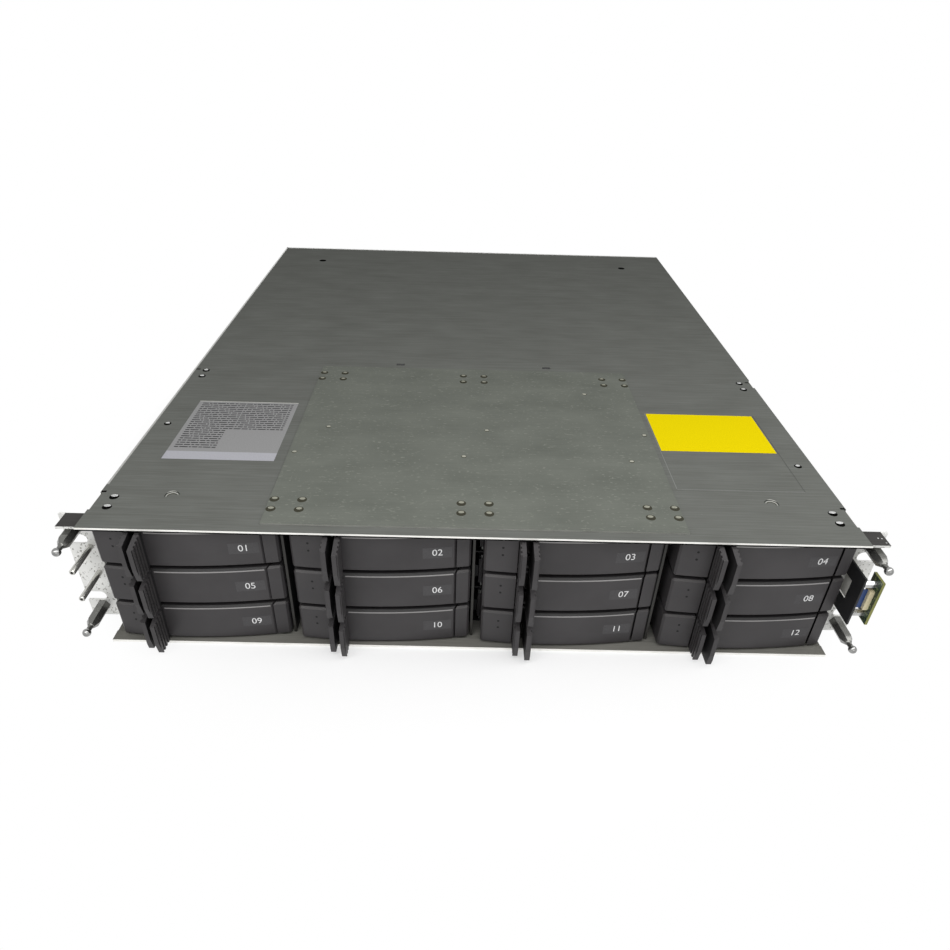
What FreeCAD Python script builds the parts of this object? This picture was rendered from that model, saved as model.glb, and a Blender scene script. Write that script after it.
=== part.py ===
# Two-unit rack storage array: twelve front-loading disk carriers in a sheet-steel chassis,
# with two power supplies and two stacked controller canisters at the rear.
# Frame: origin at the centre of the base tray's underside, +X right seen from the front,
# +Y to the rear, +Z up. All sizes in millimetres.
import FreeCAD, Part
import Sketcher
import math
import os

COLUMNS = 4
ROWS = 3
BLADES = 5
RIBS = 4
GUARD_BARS = 5
CANISTER_VENTS = 6
UP = FreeCAD.Vector(0, 0, 1)

doc = FreeCAD.newDocument("storage_array")
sheet = doc.addObject("Spreadsheet::Sheet", "dims")


class Size:
    """A length: the text that binds it to the sheet, and its value for first placing a sketch."""

    def __init__(self, text, value):
        self.text = text
        self.value = value

    def join(self, sign, other, value):
        return Size(f"({self.text} {sign} {text_of(other)})", value)

    def __add__(self, other):
        return self.join("+", other, self.value + value_of(other))

    def __sub__(self, other):
        return self.join("-", other, self.value - value_of(other))

    def __mul__(self, other):
        return self.join("*", other, self.value * value_of(other))

    def __truediv__(self, other):
        return self.join("/", other, self.value / value_of(other))

    def __neg__(self):
        return Size(f"(-{self.text})", -self.value)

    __radd__ = __add__
    __rmul__ = __mul__


def text_of(size):
    return size.text if isinstance(size, Size) else repr(float(size))


def value_of(size):
    return size.value if isinstance(size, Size) else float(size)


def root(size):
    return Size(f"sqrt({size.text})", math.sqrt(size.value))


def dim(alias, value, meaning):
    """Writes one driving dimension into the sheet and returns it as a Size."""
    dim.row += 1
    sheet.set(f"A{dim.row}", meaning)
    sheet.set(f"B{dim.row}", str(value))
    sheet.setAlias(f"B{dim.row}", alias)
    return Size(f"dims.{alias}", float(value))


dim.row = 0

# Chassis sheet metal
chassis_depth = dim("chassis_depth", 574.0, "front edge to rear edge")
steel = dim("steel", 1.2, "sheet of tray, cover, partitions and liners")
cover_hem = dim("cover_hem", 2.0, "folded front edge of the cover")
base_hem = dim("base_hem", 1.8, "folded front edge of the tray")
hem_depth = dim("hem_depth", 8.0, "run of both front folds")
wall_flange = dim("wall_flange", 18.0, "tray walls folded inward under the cover")
side_margin = dim("side_margin", 4.1, "outer carriers to the outside of the tray")
head_gap = dim("head_gap", 1.4, "top carriers to the cover")
seat_gap = dim("seat_gap", 0.3, "gap at seats that only locate")

# Stiffening plate riveted on the cover
plate_width = dim("plate_width", 244.0, "stiffening plate, side to side")
plate_depth = dim("plate_depth", 218.7, "stiffening plate, front to rear")
plate_setback = dim("plate_setback", 7.3, "cover's front edge to plate")
plate_sheet = dim("plate_sheet", 0.8, "stiffening plate thickness")

# Cut-outs of the cover
side_notch_depth = dim("side_notch_depth", 1.6, "notches in the cover's side edges")
front_notch_y = dim("front_notch_y", 18.0, "front side notch, from the front edge")
front_notch_run = dim("front_notch_run", 18.0, "length of the front side notches")
rear_notch_y = dim("rear_notch_y", 206.0, "rear side notch, from the front edge")
rear_notch_run = dim("rear_notch_run", 14.0, "length of the rear side notches")
end_notch_width = dim("end_notch_width", 7.0, "notches in the cover's rear edge")
end_notch_depth = dim("end_notch_depth", 2.4, "depth of the rear edge notches")
end_notch_spread = dim("end_notch_spread", 100.0, "outer rear notches from the middle")
pilot_radius = dim("pilot_radius", 2.1, "pilot holes near the cover's rear corners")
pilot_x = dim("pilot_x", 172.0, "pilot holes from the middle")
pilot_inset = dim("pilot_inset", 51.0, "pilot holes from the rear edge")

# Rack ears and what they carry
ear_reach = dim("ear_reach", 17.8, "ears, outward from the tray wall")
ear_steel = dim("ear_steel", 1.5, "sheet of the ears")
ear_setback = dim("ear_setback", 17.5, "cover's front edge to the flange face")
ear_bottom = dim("ear_bottom", 6.5, "underside of the ears")
ear_top_gap = dim("ear_top_gap", 3.5, "top of the ears below the top of the cover")
ear_leg = dim("ear_leg", 46.0, "leg of the ear along the tray wall")
tab_reach = dim("tab_reach", 12.0, "top tab, forward of the flange")
tab_width = dim("tab_width", 14.0, "top tab, outward from the tray wall")
slot_edge = dim("slot_edge", 8.75, "rack slot centres in from the ear's edge")
slot_pitch = dim("slot_pitch", 44.45, "rack slots, one above the other")
slot_low = dim("slot_low", 22.25, "lower rack slots above the base")
slot_radius = dim("slot_radius", 3.45, "half width of the rack slots")
stud_hex = dim("stud_hex", 7.0, "bezel studs, across flats")
stud_hex_run = dim("stud_hex_run", 18.5, "hexagon part of a bezel stud")
stud_neck_radius = dim("stud_neck_radius", 1.5, "neck of a bezel stud")
stud_neck_run = dim("stud_neck_run", 4.9, "length of that neck")
head_radius = dim("head_radius", 2.4, "head of a bezel stud")
head_run = dim("head_run", 4.5, "length of that head")
stud_low = dim("stud_low", 14.9, "lower bezel studs above the base")
stud_drop = dim("stud_drop", 11.4, "upper bezel studs below the top of the cover")
post_radius = dim("post_radius", 2.2, "guide posts")
post_bore = dim("post_bore", 1.2, "tapped end of a guide post")
post_bore_run = dim("post_bore_run", 7.0, "depth of the tapped end")
post_run = dim("post_run", 25.0, "length of a guide post")
post_inset = dim("post_inset", 5.0, "guide posts outward from the tray wall")
post_low = dim("post_low", 41.5, "lower guide post above the base")
post_high = dim("post_high", 61.4, "upper guide post above the base")

# Indicator board on the right ear
bracket_steel = dim("bracket_steel", 1.2, "sheet of the board bracket")
bracket_inset = dim("bracket_inset", 1.9, "tray wall to bracket")
bracket_reach = dim("bracket_reach", 20.5, "bracket, forward of the flange")
bracket_low = dim("bracket_low", 31.0, "bottom of the bracket")
bracket_height = dim("bracket_height", 35.0, "height of the bracket")
bracket_notch = dim("bracket_notch", 9.5, "depth of the bracket's rear notch")
bracket_arm = dim("bracket_arm", 10.0, "height of the bracket's arms")
standoff_hex = dim("standoff_hex", 4.0, "board standoffs, across flats")
standoff_run = dim("standoff_run", 8.6, "length of the board standoffs")
standoff_spread = dim("standoff_spread", 22.0, "standoffs, one above the other")
standoff_y = dim("standoff_y", 1.0, "standoffs behind the cover's front edge")
board_sheet = dim("board_sheet", 1.6, "circuit board thickness")
board_depth = dim("board_depth", 11.0, "indicator board, front to rear")
board_edge = dim("board_edge", 5.0, "board beyond its standoffs")
ribbon_sheet = dim("ribbon_sheet", 0.5, "ribbon cable thickness")
ribbon_width = dim("ribbon_width", 14.0, "ribbon cable width")
socket_run = dim("socket_run", 3.0, "ribbon socket, off the board")
socket_depth = dim("socket_depth", 5.0, "ribbon socket, front to rear")

# Disk carriers
column_gap = dim("column_gap", 7.6, "between carriers side by side")
row_gap = dim("row_gap", 2.4, "between carriers one above the other")
bezel_width = dim("bezel_width", 104.0, "carrier width")
bezel_height = dim("bezel_height", 26.0, "carrier height")
bezel_bevel = dim("bezel_bevel", 1.2, "bevel of bezel edges")
bow_radius = dim("bow_radius", 340.0, "bow of the carrier fronts in plan")
bow_x = dim("bow_x", 40.0, "foremost line of the bow from the bezel's left end")
bow_setback = dim("bow_setback", 2.2, "cover's front edge to the foremost line")
panel_width = dim("panel_width", 19.2, "lamp panel of a bezel")
wall_setback = dim("wall_setback", 23.0, "cover's front edge to the carrier's front wall")
wall_thick = dim("wall_thick", 1.5, "carrier's front wall and throat plates")
throat_setback = dim("throat_setback", 9.0, "throat plates behind the cover's front edge")

# Carrier lever
finger_gap = dim("finger_gap", 4.0, "release paddle to lever paddle")
end_width = dim("end_width", 9.8, "lever's right end to the bezel's right end")
lever_skin = dim("lever_skin", 2.4, "wall of the lever moulding")
lever_rear = dim("lever_rear", 10.5, "lever's back behind the cover's front edge")
lever_seam = dim("lever_seam", 1.0, "gap between lever and bezel end")
pivot_inset = dim("pivot_inset", 6.2, "lever pivot in from the lever's right end")
pivot_setback = dim("pivot_setback", 12.6, "lever pivot behind the cover's front edge")
pin_radius = dim("pin_radius", 1.5, "lever pivot pin")
pin_fit = dim("pin_fit", 0.05, "radial clearance of pivots")
heel_wall = dim("heel_wall", 1.25, "lever behind its pivot pin")
knuckle_radius = dim("knuckle_radius", 3.0, "reach of the carrier's lug round the pivot pin")
knuckle_nose = dim("knuckle_nose", 1.5, "half width of the lug's nose")
knuckle_height = dim("knuckle_height", 8.0, "height of that lug")
swing_gap = dim("swing_gap", 0.4, "clearance round the lug as the lever turns")

# Paddles of lever and release
paddle_tip = dim("paddle_tip", 13.0, "lever paddle's tip forward of the cover's front edge")
release_tip = dim("release_tip", 9.5, "release paddle's tip forward of that edge")
paddle_web = dim("paddle_web", 2.5, "paddle plate between its ribs")
rib_height = dim("rib_height", 0.7, "ribs standing off a paddle")
rib_width = dim("rib_width", 1.5, "width of a paddle rib")
rib_pitch = dim("rib_pitch", 3.1, "spacing of the paddle ribs")
rib_first = dim("rib_first", 0.9, "paddle tip to first rib")
paddle_trim = dim("paddle_trim", 0.4, "paddles below bezel top and above bezel bottom")
paddle_drop = dim("paddle_drop", 3.0, "fall of a paddle's top edge towards its tip")
paddle_drop_run = dim("paddle_drop_run", 13.0, "length of that fall")
paddle_toe_rise = dim("paddle_toe_rise", 9.0, "height of a paddle's tapered toe")
paddle_toe_back = dim("paddle_toe_back", 1.8, "setback of that toe")
release_gap = dim("release_gap", 0.5, "lamp panel to the release paddle's ribs")

# Disk and tray in each carrier
rail = dim("rail", 1.2, "carrier tray sheet")
tray_offset = dim("tray_offset", 2.0, "tray's left side beyond the bezel's left end")
rail_low = dim("rail_low", 3.0, "tray rails above the bezel's bottom")
rail_height = dim("rail_height", 19.0, "height of the tray rails")
rail_tail = dim("rail_tail", 1.8, "tray rails beyond the adapter")
disk_length = dim("disk_length", 147.0, "disk length")
disk_height = dim("disk_height", 25.6, "disk height")
disk_lid = dim("disk_lid", 1.6, "disk lid above the casting")
disk_lid_inset = dim("disk_lid_inset", 3.0, "disk lid in from the casting's edges")
adapter_width = dim("adapter_width", 66.0, "connector adapter behind the disk")
adapter_height = dim("adapter_height", 18.0, "height of that adapter")
adapter_run = dim("adapter_run", 28.0, "length of that adapter")
plug_width = dim("plug_width", 42.0, "plug nose of the adapter")
plug_height = dim("plug_height", 5.0, "height of the plug nose")
plug_run = dim("plug_run", 20.7, "length of the plug nose")

# Drive cage
cage_setback = dim("cage_setback", 11.0, "cover's front edge to the dividers")
divider = dim("divider", 1.5, "divider sheet")
ledge = dim("ledge", 1.0, "runner ledges")
ledge_reach = dim("ledge_reach", 4.0, "ledges under the carriers")
runner_gap = dim("runner_gap", 0.4, "carrier to runner")
guide_gap = dim("guide_gap", 0.5, "carrier to side guides")
guide_low = dim("guide_low", 8.0, "side guides above the carrier's bottom")
guide_height = dim("guide_height", 9.0, "height of the side guides")

# Midplane
midplane_sheet = dim("midplane_sheet", 3.0, "midplane board thickness")
midplane_margin = dim("midplane_margin", 4.0, "midplane in from the tray walls")
tab_spread = dim("tab_spread", 120.0, "midplane tabs, left to right")
tab_run = dim("tab_run", 6.0, "midplane tab width")
port_gap = dim("port_gap", 0.6, "plug nose to socket")
port_run = dim("port_run", 11.0, "sockets, forward of the midplane")
port_wall = dim("port_wall", 1.6, "wall of the sockets")
vent_tall = dim("vent_tall", 10.0, "air slots of the midplane")
vent_long = dim("vent_long", 40.0, "length of those air slots")

# Rear modules
module_clear = dim("module_clear", 10.0, "midplane to the modules' front")
module_gap = dim("module_gap", 0.5, "modules to partitions")
supply_width = dim("supply_width", 101.9, "power supply width")
module_wall = dim("module_wall", 1.2, "module sheet")
panel_thick = dim("panel_thick", 2.0, "module rear panels")
fan_radius = dim("fan_radius", 28.0, "fan opening")
fan_margin = dim("fan_margin", 3.4, "fan frame in from the supply's left side")
fan_run = dim("fan_run", 24.0, "depth of the fan frame")
frame_wall = dim("frame_wall", 1.6, "fan opening to the edge of the fan's square frame")
rotor_gap = dim("rotor_gap", 1.0, "blade tips to the fan opening")
rotor_hub = dim("rotor_hub", 11.0, "rotor hub radius")
rotor_run = dim("rotor_run", 14.0, "rotor length")
blade_sheet = dim("blade_sheet", 2.0, "fan blade thickness, across the rotor")
blade_root = dim("blade_root", 2.0, "blade root inside the hub")
blade_inset = dim("blade_inset", 0.8, "blade edges in from the hub's ends")
shaft_radius = dim("shaft_radius", 2.0, "fan shaft")
guard_bar = dim("guard_bar", 1.6, "bars of the fan guard")
guard_sheet = dim("guard_sheet", 1.2, "fan guard thickness")
strut_width = dim("strut_width", 4.0, "strut that carries the fan shaft")
inlet_width = dim("inlet_width", 27.0, "power inlet opening")
inlet_height = dim("inlet_height", 20.0, "height of the power inlet opening")
inlet_depth = dim("inlet_depth", 17.0, "depth of the power inlet")
inlet_inset = dim("inlet_inset", 6.0, "power inlet from the supply's right side")
inlet_low = dim("inlet_low", 7.0, "power inlet above the supply's bottom")
blade_pin = dim("blade_pin", 2.0, "inlet blades, thickness")
blade_pin_height = dim("blade_pin_height", 4.0, "inlet blades, height")
blade_pin_spread = dim("blade_pin_spread", 7.0, "inlet blades, side to side")
bail_axis_low = dim("bail_axis_low", 36.0, "bail axis above the supply's bottom")
bail_width = dim("bail_width", 30.0, "outside width of the bail")
bail_bar = dim("bail_bar", 4.0, "bail section")
bail_reach = dim("bail_reach", 38.0, "bail axis to grip")
bail_pin = dim("bail_pin", 1.2, "bail pivot pin radius")
lug_thick = dim("lug_thick", 2.4, "lugs of bails and canister levers")
lug_gap = dim("lug_gap", 0.3, "lug to the piece that turns beside it")
latch_run = dim("latch_run", 44.0, "canister lever length")
latch_thick = dim("latch_thick", 4.0, "canister lever thickness")
latch_height = dim("latch_height", 12.0, "canister lever height")
latch_inset = dim("latch_inset", 8.0, "canister lever pivot from the canister's side")
latch_pin = dim("latch_pin", 1.5, "canister lever pin radius")
latch_standoff = dim("latch_standoff", 4.0, "lever pivot behind the canister's panel")
port_width = dim("port_width", 26.0, "wide ports of a canister")
port_height = dim("port_height", 10.0, "height of the wide ports")
jack_width = dim("jack_width", 14.0, "square jacks of a canister")
jack_height = dim("jack_height", 12.0, "height of the square jacks")
port_depth = dim("port_depth", 14.0, "depth of ports and jacks")
port_spacing = dim("port_spacing", 34.0, "ports and jacks, side to side")
vent_slot = dim("vent_slot", 5.0, "vent slots of the canister panels")
vent_slot_run = dim("vent_slot_run", 12.0, "length of those vent slots")
vent_slot_pitch = dim("vent_slot_pitch", 10.0, "spacing of those vent slots")
doc.recompute()

# Places worked out from the sizes
column_pitch = bezel_width + column_gap
row_pitch = bezel_height + row_gap
first_row = steel + ledge + runner_gap
chassis_width = column_pitch * (COLUMNS - 1) + bezel_width + side_margin * 2
chassis_height = first_row + row_pitch * (ROWS - 1) + bezel_height + head_gap + steel
front = -chassis_depth / 2
rear = chassis_depth / 2
half_width = chassis_width / 2
inner_half = half_width - steel
ceiling = chassis_height - steel
shoulder = ceiling - steel
board_half = inner_half - midplane_margin
rack_half = half_width + ear_reach
slot_x = rack_half - slot_edge
ear_face = front + ear_setback
ear_height = chassis_height - ear_bottom - ear_top_gap
bracket_face = half_width + bracket_inset + bracket_steel
board_face = bracket_face + standoff_run
board_height = standoff_spread + board_edge * 2
board_middle = bracket_low + bracket_height / 2


def bow(x):
    """Carrier front at a distance x from the bezel's left end."""
    off = x - bow_x
    drop = bow_radius - root(bow_radius * bow_radius - off * off)
    return front + bow_setback + drop


# Places in a carrier, from the bezel's lower left corner
release_left = panel_width + release_gap
release_x = release_left + rib_height + paddle_web / 2
release_right = release_left + rib_height + paddle_web
lever_left = release_right + finger_gap
lever_right = bezel_width - end_width
pivot_x = lever_right - pivot_inset
pivot_y = front + pivot_setback
seam_rise = pivot_y - bow(lever_right)
seam_radius = root(pivot_inset * pivot_inset + seam_rise * seam_rise)
end_radius = seam_radius + lever_seam
wall_y = front + wall_setback
tray_y = wall_y + wall_thick
runner_y = tray_y + seat_gap
disk_y = tray_y + rail
release_y = tray_y - seat_gap - paddle_web / 2
tray_left = -tray_offset
tray_right = bezel_width - tray_offset
adapter_y = disk_y + disk_length
adapter_x = (bezel_width - adapter_width) / 2 - tray_offset
plug_y = adapter_y + adapter_run
plug_x = (bezel_width - plug_width) / 2 - tray_offset
plug_low = rail_low + (adapter_height - plug_height) / 2
port_y = plug_y + plug_run + port_gap
midplane_y = port_y + port_run

# Places of the rear modules
module_y = midplane_y + midplane_sheet + module_clear
module_run = rear - module_y
panel_y = rear - panel_thick
partition_x = inner_half - supply_width - module_gap * 2 - steel
supply_height = shoulder - steel - module_gap * 2
fan_inset = fan_margin + frame_wall + fan_radius
fan_z = supply_height / 2
rotor_y = panel_y - fan_run + strut_width + seat_gap
inlet_x = supply_width - inlet_inset - inlet_width
bail_x = inlet_x + inlet_width / 2
bail_y = rear + bail_bar / 2 + lug_gap
canister_width = partition_x * 2 - module_gap * 2
canister_height = (ceiling - steel * 2) / 2 - module_gap * 2
port_low = module_wall * 3
latch_y = rear + latch_standoff
latch_low = (canister_height - latch_height) / 2


# Shape helpers
def bind(thing, prop, size):
    thing.setExpression(prop, text_of(size))


def place(thing, x=0, y=0, z=0):
    for axis, size in zip("xyz", (x, y, z)):
        bind(thing, f"Placement.Base.{axis}", size)
    return thing


def box(name, corner, sizes):
    block = doc.addObject("Part::Box", name)
    for prop, size in zip(("Length", "Width", "Height"), sizes):
        bind(block, prop, size)
    return place(block, *corner)


def rod(name, start, radius, length, axis=(0, 0, 1)):
    """A cylinder from start along axis."""
    bar = doc.addObject("Part::Cylinder", name)
    bind(bar, "Radius", radius)
    bind(bar, "Height", length)
    bar.Placement = FreeCAD.Placement(
        FreeCAD.Vector(), FreeCAD.Rotation(UP, FreeCAD.Vector(*axis)))
    return place(bar, *start)


def fuse(name, pieces):
    union = doc.addObject("Part::MultiFuse", name)
    union.Shapes = pieces
    union.Refine = True
    return union


def cut(name, base, tools):
    """Base without the tools."""
    difference = doc.addObject("Part::Cut", name)
    difference.Base = base
    difference.Tool = tools[0] if len(tools) == 1 else fuse(name + "_tools", tools)
    return difference


def group(name, pieces, x=0, y=0, z=0):
    """Separate solids that belong together, or one piece set in its place."""
    set_of = doc.addObject("Part::Compound", name)
    set_of.Links = pieces
    return place(set_of, x, y, z)


def body(name):
    return doc.addObject("PartDesign::Body", name)


def sketch(owner, name, role, offset=0):
    drawing = owner.newObject("Sketcher::SketchObject", name)
    plane = next(f for f in owner.Origin.OriginFeatures if f.Role == role)
    drawing.AttachmentSupport = [(plane, "")]
    drawing.MapMode = "FlatFace"
    bind(drawing, "AttachmentOffset.Base.z", offset)
    return drawing


def hold(drawing, geometry, end, corner):
    """Ties one end of a line or arc to its place."""
    for kind, size in zip(("DistanceX", "DistanceY"), corner):
        rule = Sketcher.Constraint(kind, -1, 1, geometry, end, value_of(size))
        number = drawing.addConstraint(rule)
        bind(drawing, f"Constraints[{number}]", size)


def arc_between(start, stop, radius, turn):
    """Circle arc from start to stop; its centre is left of the way for turn 1, right for -1."""
    chord = stop - start
    rise = math.sqrt(radius * radius - chord.Length * chord.Length / 4)
    side = FreeCAD.Vector(-chord.y, chord.x, 0).normalize()
    centre = (start + stop) / 2 + side * rise * turn
    first, last = (start, stop) if turn > 0 else (stop, start)
    angles = [math.atan2(p.y - centre.y, p.x - centre.x) for p in (first, last)]
    return Part.ArcOfCircle(Part.Circle(centre, UP, radius), *angles)


def outline(drawing, corners, arcs=()):
    """Closed outline through corners; arcs maps an edge's number to its radius and turn."""
    arcs = dict(arcs)
    points = [FreeCAD.Vector(*map(value_of, corner), 0) for corner in corners]
    ends = []
    for number, start in enumerate(points):
        stop = points[(number + 1) % len(points)]
        if number in arcs:
            radius, turn = arcs[number]
            edge = drawing.addGeometry(arc_between(start, stop, value_of(radius), turn))
            rule = Sketcher.Constraint("Radius", edge, value_of(radius))
            bind(drawing, f"Constraints[{drawing.addConstraint(rule)}]", radius)
            ends.append((edge, 1, 2) if turn > 0 else (edge, 2, 1))
        else:
            edge = drawing.addGeometry(Part.LineSegment(start, stop))
            ends.append((edge, 1, 2))
    for number, (edge, first, last) in enumerate(ends):
        following, following_first, unused = ends[(number + 1) % len(ends)]
        drawing.addConstraint(
            Sketcher.Constraint("Coincident", edge, last, following, following_first))
        hold(drawing, edge, first, corners[number])
    return drawing


def rectangle(drawing, left, low, right, high):
    return outline(drawing, [(left, low), (right, low), (right, high), (left, high)])


def strip(drawing, one_side, other_side, low, high):
    """Rectangle between two sides given in either order."""
    left, right = sorted((one_side, other_side), key=value_of)
    return rectangle(drawing, left, low, right, high)


def circle(drawing, x, y, radius):
    centre = FreeCAD.Vector(value_of(x), value_of(y), 0)
    ring = drawing.addGeometry(Part.Circle(centre, UP, value_of(radius)))
    rule = Sketcher.Constraint("Radius", ring, value_of(radius))
    bind(drawing, f"Constraints[{drawing.addConstraint(rule)}]", radius)
    hold(drawing, ring, 3, (x, y))
    return drawing


def pad(owner, drawing, length, both_ways=False, back=False):
    feature = owner.newObject("PartDesign::Pad", drawing.Name + "_pad")
    feature.Profile = drawing
    feature.Midplane = both_ways
    feature.Reversed = back
    bind(feature, "Length", length)
    return feature


def pocket(owner, drawing, length, both_ways=False, back=False):
    feature = owner.newObject("PartDesign::Pocket", drawing.Name + "_pocket")
    feature.Profile = drawing
    feature.Midplane = both_ways
    feature.Reversed = back
    bind(feature, "Length", length)
    return feature


def level(owner, name, height=0):
    """A plan drawing at a height."""
    return sketch(owner, name, "XY_Plane", height)


def sink(owner, drawing, height):
    """Cuts a plan drawing upwards through a height."""
    return pocket(owner, drawing, height, back=True)


def bevel_edges(owner, base, size, chosen):
    """Bevels the edges of base for which chosen(edge) is true."""
    doc.recompute()
    names = [f"Edge{n}" for n, edge in enumerate(base.Shape.Edges, 1) if chosen(edge)]
    feature = owner.newObject("PartDesign::Chamfer", base.Name + "_bevel")
    feature.Base = (base, names)
    bind(feature, "Size", size)
    return feature


def near(a, b):
    return abs(a - value_of(b)) < 0.01


def is_bow(edge):
    """True for an edge that follows the bow of the carrier fronts."""
    return edge.Curve.TypeId == "Part::GeomCircle" and near(edge.Curve.Radius, bow_radius)


# Base tray: floor with a folded front edge, walls from the ears back, flanges under the cover
def make_base_tray():
    tray = body("base_tray")
    floor = level(tray, "tray_floor")
    rectangle(floor, -half_width, front, half_width, rear)
    pad(tray, floor, steel)
    fold = level(tray, "tray_fold", steel)
    rectangle(fold, -half_width, front, half_width, front + hem_depth)
    pad(tray, fold, base_hem - steel)
    walls = level(tray, "tray_walls", steel)
    flanges = level(tray, "tray_flanges", shoulder)
    for side in (-1, 1):
        edge = half_width * side
        strip(walls, edge, inner_half * side, ear_face, rear)
        strip(flanges, edge, (inner_half - wall_flange) * side, ear_face, rear)
    pad(tray, walls, ceiling - steel)
    pad(tray, flanges, steel)
    return tray


# Top cover: plate with a folded front edge, edge notches, tab slots and pilot holes
def make_top_cover():
    cover = body("top_cover")
    plate = level(cover, "cover_plate", ceiling)
    rectangle(plate, -half_width, front, half_width, rear)
    pad(cover, plate, steel)
    fold = level(cover, "cover_fold", chassis_height - cover_hem)
    rectangle(fold, -half_width, front, half_width, front + hem_depth)
    pad(cover, fold, cover_hem - steel)
    cuts = level(cover, "cover_cuts", ceiling)
    half_tab = tab_run / 2 + seat_gap
    for side in (-1, 1):
        edge = half_width * side
        inside = edge - side_notch_depth * side
        for start, run in ((front_notch_y, front_notch_run), (rear_notch_y, rear_notch_run)):
            strip(cuts, edge, inside, front + start, front + start + run)
        tab_middle = tab_spread / 2 * side
        rectangle(
            cuts, tab_middle - half_tab, midplane_y - seat_gap,
            tab_middle + half_tab, midplane_y + midplane_sheet + seat_gap)
        circle(cuts, pilot_x * side, rear - pilot_inset, pilot_radius)
    for step in (-1, 0, 1):
        middle = end_notch_spread * step
        rectangle(
            cuts, middle - end_notch_width / 2, rear - end_notch_depth,
            middle + end_notch_width / 2, rear)
    sink(cover, cuts, steel)
    return cover


def make_top_plate():
    return box(
        "top_plate", (-plate_width / 2, front + plate_setback, chassis_height),
        (plate_width, plate_depth, plate_sheet))


# Rack ears: leg on the tray wall, slotted flange, top tab bent forward
def make_ear(side, name):
    ear = body(name)
    wall = half_width * side
    edge = rack_half * side
    skin = ear_steel * side
    angle = level(ear, f"{name}_angle", ear_bottom)
    outline(angle, [
        (wall, ear_face), (edge, ear_face), (edge, ear_face + ear_steel),
        (wall + skin, ear_face + ear_steel), (wall + skin, ear_face + ear_leg),
        (wall, ear_face + ear_leg)])
    pad(ear, angle, ear_height)
    tab = level(ear, f"{name}_tab", ear_bottom + ear_height - ear_steel)
    outline(tab, [
        (wall, ear_face - tab_reach), (wall + tab_width * side, ear_face - tab_reach),
        (wall + tab_width * side, ear_face), (wall, ear_face)])
    pad(ear, tab, ear_steel)
    slots = sketch(ear, f"{name}_slots", "XZ_Plane", -ear_face)
    for height in (slot_low, slot_low + slot_pitch):
        centre = slot_x * side
        outline(
            slots,
            [(edge, height - slot_radius), (centre, height - slot_radius),
             (centre - slot_radius * side, height), (centre, height + slot_radius),
             (edge, height + slot_radius)],
            {1: (slot_radius, -side), 2: (slot_radius, -side)})
    pocket(ear, slots, ear_steel)
    return ear


# Bezel studs on both ears and guide posts on the left ear
def hexagon(name, across, length):
    """Hexagon bar along +Z."""
    bar = doc.addObject("Part::Prism", name)
    bar.Polygon = 6
    bind(bar, "Circumradius", across / math.sqrt(3))
    bind(bar, "Height", length)
    return bar


def make_stud(name):
    """Bezel stud pointing up: hexagon, neck and turned head."""
    shank = hexagon(name + "_shank", stud_hex, stud_hex_run)
    neck = rod(name + "_neck", (0, 0, stud_hex_run), stud_neck_radius, stud_neck_run)
    head = rod(name + "_head", (0, 0, stud_hex_run + stud_neck_run), head_radius, head_run)
    return fuse(name, [shank, neck, head])


def make_ear_studs():
    stud = make_stud("stud")
    forward = FreeCAD.Rotation(UP, FreeCAD.Vector(0, -1, 0))
    pieces = []
    for side, hand in ((-1, "left"), (1, "right")):
        for tier, height in (("low", stud_low), ("high", chassis_height - stud_drop)):
            piece = group(f"stud_{hand}_{tier}", [stud])
            piece.Placement = FreeCAD.Placement(FreeCAD.Vector(), forward)
            pieces.append(place(piece, slot_x * side, ear_face, height))
    for tier, height in (("low", post_low), ("high", post_high)):
        at = -half_width - post_inset
        shank = rod(f"post_{tier}_shank", (at, ear_face, height), post_radius, post_run, (0, -1, 0))
        hole = rod(
            f"post_{tier}_hole", (at, ear_face - post_run + post_bore_run, height), post_bore,
            post_bore_run, (0, -1, 0))
        pieces.append(cut(f"post_{tier}", shank, [hole]))
    return group("ear_studs", pieces)


# Indicator board: bracket on the right ear, standoffs, board, socket and ribbon
def make_panel_bracket():
    bracket = body("panel_bracket")
    side_view = sketch(bracket, "bracket_side", "YZ_Plane", half_width + bracket_inset)
    nose = ear_face - bracket_reach
    top = bracket_low + bracket_height
    outline(side_view, [
        (nose, bracket_low), (ear_face, bracket_low), (ear_face, bracket_low + bracket_arm),
        (ear_face - bracket_notch, bracket_low + bracket_arm),
        (ear_face - bracket_notch, top - bracket_arm), (ear_face, top - bracket_arm),
        (ear_face, top), (nose, top)])
    pad(bracket, side_view, bracket_steel)
    return bracket


def make_panel_board():
    middle_y = front + standoff_y
    pieces = [box(
        "panel_sheet", (board_face, middle_y - board_depth / 2, board_middle - board_height / 2),
        (board_sheet, board_depth, board_height))]
    outward = FreeCAD.Rotation(UP, FreeCAD.Vector(1, 0, 0))
    for name, step in (("low", -0.5), ("high", 0.5)):
        standoff = hexagon(f"panel_standoff_{name}", standoff_hex, standoff_run)
        standoff.Placement = FreeCAD.Placement(FreeCAD.Vector(), outward)
        height = board_middle + standoff_spread * step
        pieces.append(place(standoff, bracket_face, middle_y, height))
    pieces.append(box(
        "panel_socket",
        (board_face - socket_run, middle_y - socket_depth / 2, board_middle - ribbon_width / 2),
        (socket_run, socket_depth, ribbon_width)))
    return group("panel_board", pieces)


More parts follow.
